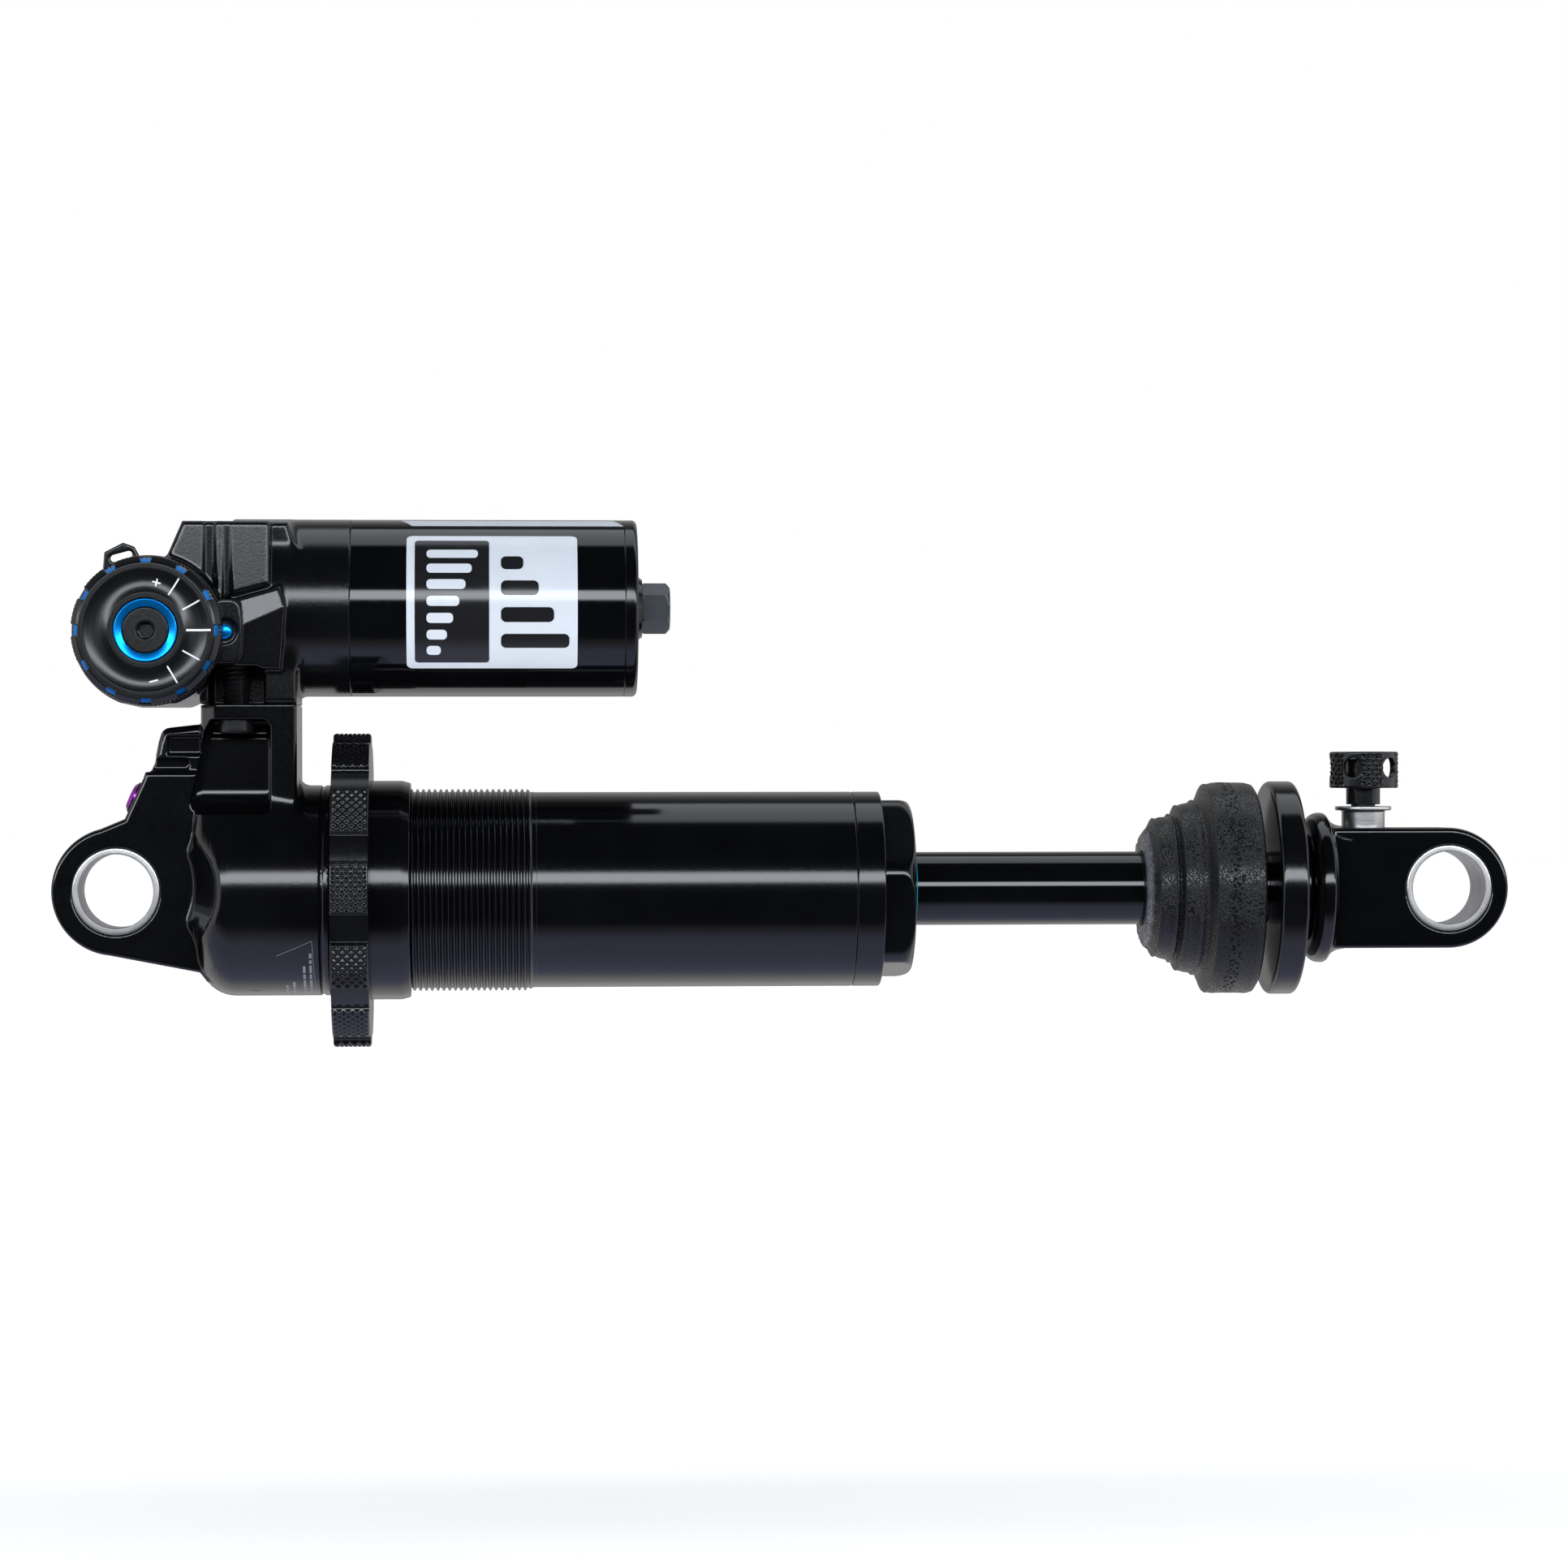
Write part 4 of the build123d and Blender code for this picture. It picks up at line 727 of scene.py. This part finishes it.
# ------------------------------
# The rebound knob is a small turned cup with knurled pads and cross holes, so that a hex key can
# turn it. Its stem runs down through a bright collar pressed into the eyelet.
SLEEVE = (7.45, 14.2)
KNOB = (17.35, 23.7)
KNOB_R = 6.1
KNOB_HOLES = 5
KNOB_HOLE_Z = 20.9
KNOB_HOLE_R = 1.75
KNOB_PAD = radians(38)
bright = finish("bright_aluminium", (0.60, 0.60, 0.60), 0.30, grain=3000.0, depth=0.006,
                rings=(2, (KNOB_X, 0, 0)), Metallic=1.0)
collar_lines = [(SLEEVE[0], 2.2), (SLEEVE[0], SLEEVE_R, 0.1), (13.45, SLEEVE_R, 0.35), (13.45, 4.9, 0.25),
                (SLEEVE[1], 4.9, 0.25), (SLEEVE[1], 2.2)]
silver = turned("sleeve_collar", collar_lines, 2, (KNOB_X, 0, 0))
dress(silver, "shaft", "silver_aluminium", bright, "rebound_sleeve")


def knob_field(p):
    x, y, z = p[:, 0] - KNOB_X, p[:, 1], p[:, 2]
    across = np.hypot(x, y)
    angle = np.arctan2(x, -y)
    pitch = 2 * pi / KNOB_HOLES
    off = (angle - radians(7) + pitch / 2) % pitch - pitch / 2
    on_pad = np.clip((KNOB_PAD / 2 - np.abs(off)) / radians(2) + 0.5, 0, 1)
    ends = np.clip((z - KNOB[0] - 0.35) / 0.2, 0, 1) * np.clip((KNOB[1] - 0.35 - z) / 0.2, 0, 1)
    rim = KNOB_R - 0.25 + on_pad * (0.25 + ends * knurl(off * KNOB_R, z - KNOB_HOLE_Z, 1.55, 0.30))
    cup = common(across - rim, np.abs(z - (KNOB[0] + KNOB[1]) / 2) - (KNOB[1] - KNOB[0]) / 2, 0.35)
    cup = cut(cup, np.maximum(across - 4.8, 19.0 - z), 0.2)
    from_hole = np.hypot((off - np.sign(off) * pitch / 2) * across, z - KNOB_HOLE_Z)
    cup = cut(cup, np.maximum(from_hole - KNOB_HOLE_R, 3.5 - across), 0.12)
    stem = bar(p, 2, (KNOB_X, 0), 2.95, 14.5, 18.5, 0.15)
    pin = bar(p, 2, (KNOB_X, 0), 3.3, 18.5, 22.6, 0.3)
    return np.minimum(join(cup, stem, 0.15), np.minimum(pin, bar(p, 2, (KNOB_X, 0), 2.1, 8.0, 15.0, 0.1)))


FINE = 0.09
knob = carved("rebound_knob_cup", knob_field, (209.6, -6.6, 7.6), (222.6, 6.6, 24.2), step=FINE)
knob_black = finish("knob_black", (0.004, 0.0042, 0.005), 0.18, grain=2600.0, depth=0.003, spread=0.04)
dress(knob, "rebound_knob", "cast_black", knob_black, "rebound_knob")

# ------------------------------
# The reservoir head is cast aluminium with a satin, slightly pebbled skin: a barrel for the
# compression unit, a ribbed web, a cup for the reservoir tube and a foot bolted to the tower.
UNIT_X, UNIT_Z = 6.4, 44.0
BARREL_R = 12.9
BARREL = (-17.6, 27.0)
RES_Z = 48.6
RES_R = 15.25
RES_JOINT = 40.0
RES_TOP = 62.8
PANEL_FACE = 16.0
FACET_FACE = 17.2
PAD_RIGHT = 22.1
CUP_BORE_R = 14.3
UNIT_BORE_R = 9.5
POINTER_X = 19.15
POINTER_FACE = 19.0
side_view = [(UNIT_X, UNIT_Z), (9.4, 57.0), (11.9, RES_TOP), (29.5, RES_TOP), (31.0, 58.0), (31.0, JOINT_Z),
             (14.6, JOINT_Z), (14.6, 38.0)]
panel_view = [(8.6, 52.0), (9.4, 57.0), (11.9, RES_TOP), (27.0, RES_TOP), (27.0, 51.9), (20.0, 50.0),
              (14.0, 46.0)]
facet_view = [(20.4, 49.2), (28.2, 51.5), (29.2, 48.3), (28.4, 37.8), (20.4, 37.8)]


def reservoir_field(p):
    x, y, z = p[:, 0], np.abs(p[:, 1]), p[:, 2]
    across = np.hypot(p[:, 1], z - RES_Z)
    web = common(drawn(x, z, side_view), y - TOWER_HALF, 0.9)
    cup = common(across - RES_R, np.maximum(20.0 - x, x - RES_JOINT), 0.12)
    body = join(web, cup, 1.4)
    face = y - PANEL_FACE + 0.04 * (z - 52.0)
    for groove, radius in ((16.5, 1.2), (19.45, 0.85)):
        face = cut(face, np.hypot(x - groove, y - PANEL_FACE - 0.1) - radius, 0.45)
    right = common(x - 27.0, face, 1.5)
    panel = common(drawn(x, z, panel_view), np.maximum(face, right), 0.8)
    body = join(body, panel, 0.35)
    crease = 45.2 + 0.44 * (x - PAD_RIGHT)
    lean = np.where(z > crease, 0.115, -0.04) * (z - crease)
    facet = common(drawn(x, z, facet_view), y - FACET_FACE + lean, 0.35)
    body = join(body, facet, 0.6)
    bulge = x - PAD_RIGHT + 0.02 * (z - UNIT_Z) ** 2
    pad = common(common(np.maximum(bulge, 17.5 - x), np.abs(z - UNIT_Z) - 5.4, 1.3), y - POINTER_FACE, 0.3)
    front = p[:, 1] < 0
    body = np.where(front, join(body, pad, 0.3), body)
    folded = np.stack([x, y, z], axis=1)
    dimple = bar(folded, 1, (POINTER_X, UNIT_Z), 2.1, POINTER_FACE - 0.9, POINTER_FACE + 3, 0.1)
    body = np.where(front, cut(body, dimple, 0.2), body)
    barrel = bar(p, 1, (UNIT_X, UNIT_Z), BARREL_R, *BARREL, 0.9)
    body = join(body, barrel, 0.8)
    body = common(body, JOINT_Z - z, 0.15)
    cavity = common(common(common(np.abs(x - 20.9) - 4.8, z - 38.3, 1.6), JOINT_Z - 3 - z, 0.1), 4.5 - y, 0.8)
    body = cut(body, cavity, 0.3)
    body = cut(body, bar(p, 1, (UNIT_X, UNIT_Z), UNIT_BORE_R, -30.0, 20.0, 0.1), 0.3)
    return np.maximum(body, -np.maximum(across - CUP_BORE_R, 33.0 - x))


pebbled = finish("cast_pebbled", (0.003, 0.0032, 0.0038), 0.16, grain=2900.0, depth=0.011, spread=0.05)
casting = carved("reservoir_casting", reservoir_field, (-7.4, -20.2, 31), (40.8, 28, 65))
dress(casting, "damper", "cast_black", pebbled, "reservoir_head")

# ------------------------------
# Two steel screws clamp the foot to the tower. Their low round heads sit up in the pockets' roofs,
# and their threads show where they cross the casting's open cavity.
black_steel = finish("black_steel", (0.010, 0.010, 0.011), 0.26, grain=2400.0, depth=0.006, Metallic=0.4)


def screw_thread(d, r, angle):
    turn = d / 0.8 - angle / (2 * pi)
    groove = 0.32 * (0.5 - 0.5 * np.cos(2 * pi * turn))
    return np.where((r > 2.0) & (d > POCKET_HIGH + 0.4), r - groove, r)


screw_outline = [(28.2, 0.0), (28.2, 1.3), (26.9, 1.5), (26.9, 3.0, 0.5), (POCKET_HIGH, 3.0, 0.1),
                 (POCKET_HIGH, 2.5), (46.0, 2.5), (46.0, 0.0)]
for side, sign in (("front", -1), ("back", 1)):
    at = (BOLT_X, sign * BOLT_Y, 0)
    screw = turned("reservoir_screw_" + side, screw_outline, 2, at, 96, 0.1, screw_thread)
    dress(screw, "damper", "black_steel", black_steel, "reservoir_bolts")

# ------------------------------
# The reservoir is a plain aluminium tube, ground and anodised gloss black, with its gas-side cap
# held flush in its end. A small hexagonal screw cap covers the fill valve.
RES_CAP = 86.8
RES_END = 89.0
AT = (0, 0, RES_Z)
mirror_black = finish("mirror_black", (0.002, 0.0022, 0.003), 0.07, grain=700.0, depth=0.0010, spread=0.02)
can = [(33.2, 13.5), (33.2, 14.2), (RES_JOINT, 14.2), (RES_JOINT, RES_R, 0.15), (RES_CAP, RES_R, 0.15),
       (RES_CAP, 13.5)]
dress(turned("reservoir_can", can, at=AT), "damper", "black_anodised", mirror_black, "reservoir_tube")
lid = [(RES_CAP, 2.1), (RES_CAP, RES_R, 0.15), (RES_END, RES_R, 0.9), (RES_END, 5.6, 0.2),
       (RES_END + 1.0, 5.0, 0.3), (RES_END + 1.0, 2.1)]
dress(turned("reservoir_lid", lid, at=AT), "damper", "black_anodised", gloss_black, "reservoir_end_cap")
HEX = 3.8


def hexed(d, r, angle):
    """A hexagon whose outer corners are turned back to a chamfer."""
    off = (angle + pi / 6) % (pi / 3) - pi / 6
    flat = HEX / np.cos(off)
    return np.where(r > 2.5, np.minimum(flat, r), r)


cap_lines = [(90.05, 0), (90.05, 4.2), (90.35, 4.5), (94.0, 4.5), (94.8, 3.6, 0.3), (94.8, 1.3, 0.2),
             (94.2, 0.9), (94.2, 0)]
cap = turned("valve_hex_cap", cap_lines, at=AT, segments=360, step=0.2, shape=hexed, sharp=30)
cap_grey = finish("cap_grey", (0.032, 0.038, 0.048), 0.22, grain=1500.0, depth=0.0015, spread=0.03)
dress(cap, "damper", "black_anodised", cap_grey, "valve_cap")

# ------------------------------
# A printed film wraps the reservoir: a pale round-cornered panel with a plain gauge of bars, and a
# pale stripe along the top. It carries no words.
FILM = 0.05


def film(name, left, right, low, high, corner, layer, slant=0.0):
    """A thin round-cornered panel laid on the tube, low and high in degrees above its front."""
    radius = RES_R + FILM * layer
    bottom, top = radians(low) * radius, radians(high) * radius
    middle = (bottom + top) / 2
    half = (top - bottom) / 2
    rows = np.linspace(-1, 1, 61)
    rows = np.sign(rows) * (1 - (1 - np.abs(rows)) ** 1.6)
    points, faces = [], []
    for row in rows:
        s = row * half
        past = max(abs(s) - (half - corner), 0)
        inset = corner - sqrt(max(corner**2 - past**2, 0))
        shift = slant * (s + half)
        for depth in (0, FILM):
            a = (middle + s) / radius
            for x in (left + inset + shift, right - inset + (shift if slant else 0)):
                r = radius - depth
                points.append((x, -r * cos(a), RES_Z + r * sin(a)))
    for i in range(len(rows) - 1):
        a, b = 4 * i, 4 * (i + 1)
        faces += [(a, a + 1, b + 1, b), (a + 2, b + 2, b + 3, a + 3), (a, b, b + 2, a + 2),
                  (a + 1, a + 3, b + 3, b + 1)]
    last = 4 * (len(rows) - 1)
    faces += [(0, 2, 3, 1), (last, last + 1, last + 3, last + 2)]
    return mesh_piece(name, points, faces, sharp=50)


pale_film = finish("pale_film", (0.62, 0.66, 0.72), 0.16, grain=500.0, depth=0.001, mottle=0.03, spread=0.03)
dark_film = finish("dark_film", (0.012, 0.012, 0.014), 0.13, grain=500.0, depth=0.001, mottle=0.1,
                   spread=0.03)
LABEL = (49.6, 78.6)
LABEL_ARC = (-44.0, 51.5)
HALF = 63.6
films = [film("label_panel", *LABEL, *LABEL_ARC, 1.0, 1, 0)]
films.append(film("label_stripe", 50.4, 86.6, 65.5, 77.5, 0.1, 1, -0.55))
inset = film("label_inset", LABEL[0] + 1.4, HALF, LABEL_ARC[0] + 5.0, LABEL_ARC[1] - 5.0, 0.6, 2)
BARS = 7
for row in range(BARS):
    low = LABEL_ARC[0] + 11.0 + row * 10.8
    films.append(film(f"label_bar_{row}", LABEL[0] + 3.4, HALF - 8.2 + row * 1.05, low, low + 6.4, 0.7, 3))
for piece in films:
    dress(piece, "damper", "black_anodised", pale_film)
dress(inset, "damper", "black_anodised", dark_film)
for row, width in enumerate((11.6, 9.0, 6.4, 3.8)):
    low = LABEL_ARC[0] + 16.0 + row * 17.2
    stroke = film(f"label_stroke_{row}", HALF + 2.0, HALF + 2.0 + width, low, low + 9.5, 0.9, 2)
    dress(stroke, "damper", "black_anodised", dark_film)

# ------------------------------
# A few rows of small print low on the head's barrel, under a thin bent rule, are pad-printed in
# grey. They are plain dashes and carry no words.
print_grey = finish("print_grey", (0.20, 0.21, 0.23), 0.4, grain=1500.0, depth=0.002, mottle=0.1)


def printed(name, strokes, radius, rise=0.025):
    """Strips laid round the barrel, each (x and angle at one end, x and angle at the other, width)."""
    points, faces = [], []
    for x0, low, x1, high, width in strokes:
        first = len(points)
        slope = atan2(radians(high - low) * radius, x1 - x0)
        across = (-sin(slope) * width / 2, degrees(cos(slope) * width / 2 / radius))
        count = 12
        for t in np.linspace(0, 1, count):
            for side in (-1, 1):
                a = radians(low + (high - low) * t + side * across[1])
                for r in (radius + rise, radius - 0.05):
                    points.append((x0 + (x1 - x0) * t + side * across[0], -r * cos(a), r * sin(a)))
        for i in range(first, first + 4 * (count - 1), 4):
            faces += [(i, i + 4, i + 6, i + 2), (i + 1, i + 3, i + 7, i + 5), (i, i + 1, i + 5, i + 4),
                      (i + 2, i + 6, i + 7, i + 3)]
        last = len(points) - 4
        faces += [(first, first + 2, first + 3, first + 1), (last, last + 1, last + 3, last + 2)]
    return mesh_piece(name, points, faces, sharp=50)


rules = [(27.6, -36.5, 33.6, -27.0, 0.07), (33.6, -27.0, 34.2, -78.0, 0.07)]
words = []
for x, low, high in ((33.3, -76.0, -35.0), (32.2, -76.0, -44.0), (30.4, -76.0, -58.0), (29.2, -76.0, -62.0)):
    at, number = low, 0
    while at < high:
        size = (6.0, 2.6, 8.5, 4.2)[number % 4]
        words.append((x, at, x, min(at + size, high), 0.42))
        at += size + 1.3
        number += 1
dress(printed("head_print", rules + words, HEAD_R), "damper", "black_anodised", print_grey)

# ------------------------------
# The low-speed compression dial: a black turned cover with a fine knurled edge and twelve windows
# that show the blue drum inside, a shallow dished face and a raised hub.
UNIT = (UNIT_X, 0, UNIT_Z)
DIAL = (-25.0, -19.5)
DIAL_R = 12.55
WINDOWS = 12
DISH = (6.4, 10.2)
DISH_DEPTH = 0.34
FACE_R = 11.25
WINDOW_HALF = 1.0


def dish_y(r):
    """How far forward the dished face stands at a radius."""
    middle = (DISH[0] + DISH[1]) / 2
    half = (DISH[1] - DISH[0]) / 2
    return DIAL[0] + 0.32 + DISH_DEPTH * (1 - ((r - middle) / half) ** 2)


def dial_edge(d, r, angle):
    """Fine teeth round the rim, and twelve notches down through it to the drum."""
    on_rim = np.clip((d + 23.7) / 0.3, 0, 1) * np.clip((DIAL[1] - 0.3 - d) / 0.3, 0, 1)
    teeth = 0.18 * np.abs(np.sin(angle * 55)) * on_rim
    pitch = 2 * pi / WINDOWS
    off = np.abs((angle + pitch / 2) % pitch - pitch / 2) * DIAL_R
    notch = np.clip((WINDOW_HALF - off) / 0.1, 0, 1) * np.clip((-21.2 - d) / 0.1, 0, 1)
    return np.where(r > FACE_R + 0.12, r - teeth - (r - FACE_R - 0.1) * notch, r)


rise = [(dish_y(r), r) for r in np.linspace(DISH[1], DISH[0], 14)]
dial_lines = [
    (DIAL[1], 10.9), (DIAL[1], DIAL_R, 0.3), (-23.6, DIAL_R, 0.25), (-24.35, FACE_R + 0.35, 0.1),
    (-24.5, FACE_R, 0.08), (DIAL[0], FACE_R, 0.15), (DIAL[0], 10.3, 0.08), *rise,
    (DIAL[0] + 0.12, DISH[0] - 0.02, 0.1), (DIAL[0] + 0.12, 5.4, 0.1), (-22.0, 5.4), (-22.0, 10.9),
]
cover = turned("dial_cover", dial_lines, 1, UNIT, 720, 0.14, dial_edge, 30)
dial_black = finish("dial_black", (0.005, 0.0052, 0.006), 0.22, grain=2600.0, depth=0.004, rings=(1, UNIT))
dress(cover, "lsc_dial", "black_anodised", dial_black, "lsc_dial")
blue = finish("blue_anodised", (0.0, 0.30, 0.95), 0.24, grain=3600.0, depth=0.006, mottle=0.08,
              rings=(1, UNIT), Metallic=0.85)
drum = [(-20.8, 11.0), (-20.8, 12.05), (-23.2, 12.05, 0.3), (-23.9, FACE_R + 0.25, 0.1), (-23.9, 11.0)]
# The drum is the same blue anodising as the ring and stud, painted darker: painted shade where it sits deep
# behind the notches.
shaded_blue = finish("shaded_blue", (0.0, 0.13, 0.42), 0.30, grain=2600.0, depth=0.006, Metallic=0.7)
dress(turned("dial_drum", drum, 1, UNIT), "lsc_dial", "blue_anodised", shaded_blue, "dial_core")

# ------------------------------
# The dial's marks are printed in white on the dished face: five setting lines and the signs for
# more and less damping.
print_white = finish("print_white", (0.80, 0.81, 0.83), 0.45, grain=1500.0, depth=0.002, mottle=0.05)
MARK_RISE = 0.03


def mark(name, along, across, angle, at=(0.0, 0.0)):
    """A printed line on the dish, from along[0] to along[1] out from the axis, turned by angle."""
    points, faces = [], []
    a = radians(angle)
    lengths = np.linspace(*along, 15)
    for u in lengths:
        for v in (-across / 2, across / 2):
            x = at[0] + u * cos(a) - v * sin(a)
            z = at[1] + u * sin(a) + v * cos(a)
            r = hypot(x, z)
            surface_y = dish_y(r) if DISH[0] < r < DISH[1] else DIAL[0]
            for depth in (MARK_RISE, -0.02):
                points.append((UNIT_X + x, surface_y - depth, UNIT_Z + z))
    for i in range(len(lengths) - 1):
        a0, b0 = 4 * i, 4 * i + 4
        faces += [(a0, a0 + 2, b0 + 2, b0), (a0 + 1, b0 + 1, b0 + 3, a0 + 3), (a0, b0, b0 + 1, a0 + 1),
                  (a0 + 2, a0 + 3, b0 + 3, b0 + 2)]
    last = 4 * (len(lengths) - 1)
    faces += [(0, 1, 3, 2), (last, last + 2, last + 3, last + 1)]
    dress(mesh_piece(name, points, faces, sharp=50), "lsc_dial", "silver_aluminium", print_white)


for number, angle in enumerate((57, 29, -29, -59)):
    mark(f"dial_line_{number}", (7.0, 10.4), 0.26, angle)
mark("dial_line_main", (6.75, 10.85), 0.36, 0)
more = (8.15 * cos(radians(77)), 8.15 * sin(radians(77)))
mark("dial_more_a", (-0.72, 0.72), 0.24, -14, more)
mark("dial_more_b", (-0.62, 0.62), 0.24, 76, more)
mark("dial_less", (-0.75, 0.75), 0.26, 14, (8.6 * cos(radians(-81)), 8.6 * sin(radians(-81))))

# ------------------------------
# In the dial's middle are the high-speed compression ring, turned and anodised blue, and the black
# steel screw that it stands round, with its hexagon socket.
band = [(-22.3, 3.9), (-22.3, 5.25), (-25.4, 5.25, 0.15), (-25.25, 4.6), (-25.05, 3.95, 0.05)]
dress(turned("hsc_band", band, 1, UNIT), "hsc_adjuster", "blue_anodised", blue, "hsc_ring")
SOCKET = 1.3


def screw_field(p):
    x, y, z = p[:, 0] - UNIT_X, p[:, 1], p[:, 2] - UNIT_Z
    head = bar(p, 1, (UNIT_X, UNIT_Z), 3.82, -25.2, -22.3, 0.18)
    u, v = np.abs(x), np.abs(z)
    hexagon = np.maximum(v, u * 0.866 + v * 0.5) - SOCKET
    across = np.hypot(x, z)
    sinker = across - SOCKET * 1.25 + (y + 25.2) * 0.9
    socket = np.maximum(np.minimum(hexagon, sinker), y + 23.2)
    return np.maximum(head, -socket)


centre = carved("hsc_screw_head", screw_field, (2.2, -25.6, 39.8), (10.6, -22, 48.2), step=FINE, sharp=35)
dress(centre, "hsc_adjuster", "black_steel", black_steel, "hsc_screw")

# ------------------------------
# The threshold lever is a thin stamped ring that turns behind the dial, with a looped tab for the
# thumb, its edges tumbled smooth.
LEVER = (-19.2, -17.9)
tab_edge = [(-0.8, 54.6), (-0.6, 57.1), (2.3, 58.6), (4.0, 58.0), (5.3, 55.6), (5.3, 52.0), (0.8, 52.0)]


def lever_field(p):
    x, y, z = p[:, 0], p[:, 1], p[:, 2]
    across = np.hypot(x - UNIT_X, z - UNIT_Z)
    ring = np.maximum(across - 12.6, 10.0 - across)
    tab = np.maximum(drawn(x, z, tab_edge) - 0.25, 11.0 - across)
    cx, cz, tilt = 2.0, 56.55, radians(15)
    u = (x - cx) * cos(tilt) + (z - cz) * sin(tilt)
    v = -(x - cx) * sin(tilt) + (z - cz) * cos(tilt)
    hole = np.hypot(np.maximum(np.abs(u) - 1.25, 0), v) - 0.62
    outline = np.minimum(ring, np.maximum(tab, -hole))
    return common(outline, np.abs(y - (LEVER[0] + LEVER[1]) / 2) - (LEVER[1] - LEVER[0]) / 2, 0.3)


lever = carved("lever_plate", lever_field, (-6.8, -19.6, 30.8), (19.6, -17.5, 59.6), step=FINE * 1.4)
dress(lever, "threshold_lever", "black_anodised", knob_black, "threshold_lever")

# ------------------------------
# A small blue stud in the casting beside the dial marks where it is read. It is turned from
# aluminium with a domed end, anodised, and pressed in.
stud = [(-17.6, 0), (-17.6, 1.3), (-19.2, 1.3, 0.5), (-19.5, 0)]
pointer = turned("pointer_stud", stud, 1, (POINTER_X, 0, UNIT_Z), 64)
dress(pointer, "damper", "blue_anodised", blue, "dial_pointer")

# ------------------------------
# The working parts inside keep their machined shapes and get their own finishes: ground steel, plain
# aluminium, brass, moulded seal rubber and a brown bearing plastic.
plain_steel = finish("plain_steel", (0.50, 0.50, 0.52), 0.3, grain=1800.0, depth=0.004, Metallic=1.0)
plain_aluminium = finish("plain_aluminium", (0.60, 0.60, 0.62), 0.32, grain=1800.0, depth=0.004, Metallic=1.0)
seal_black = finish("seal_black", (0.02, 0.02, 0.02), 0.55, grain=1500.0, depth=0.01)
bearing_brown = finish("bearing_brown", (0.16, 0.11, 0.07), 0.45, grain=1500.0, depth=0.006)
turned_brass = finish("turned_brass", (0.75, 0.55, 0.25), 0.28, grain=1800.0, depth=0.004, Metallic=1.0)
inside = {
    plain_steel: ("base_valve_shims", "detent_spring", "detent_ball", "compression_shims", "rebound_shims",
                  "piston_nut", "compression_needle"),
    plain_aluminium: ("compression_body", "base_valve", "floating_piston", "main_piston", "rebound_rod"),
    seal_black: ("shaft_seal", "seal_head_oring", "reservoir_orings", "floating_piston_oring",
                 "top_out_bumper"),
    bearing_brown: ("shaft_bushing", "piston_band"),
    turned_brass: ("fill_valve",),
}
for material, names in inside.items():
    for name in names:
        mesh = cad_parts[name].data
        mesh.materials.clear()
        mesh.materials.append(material)
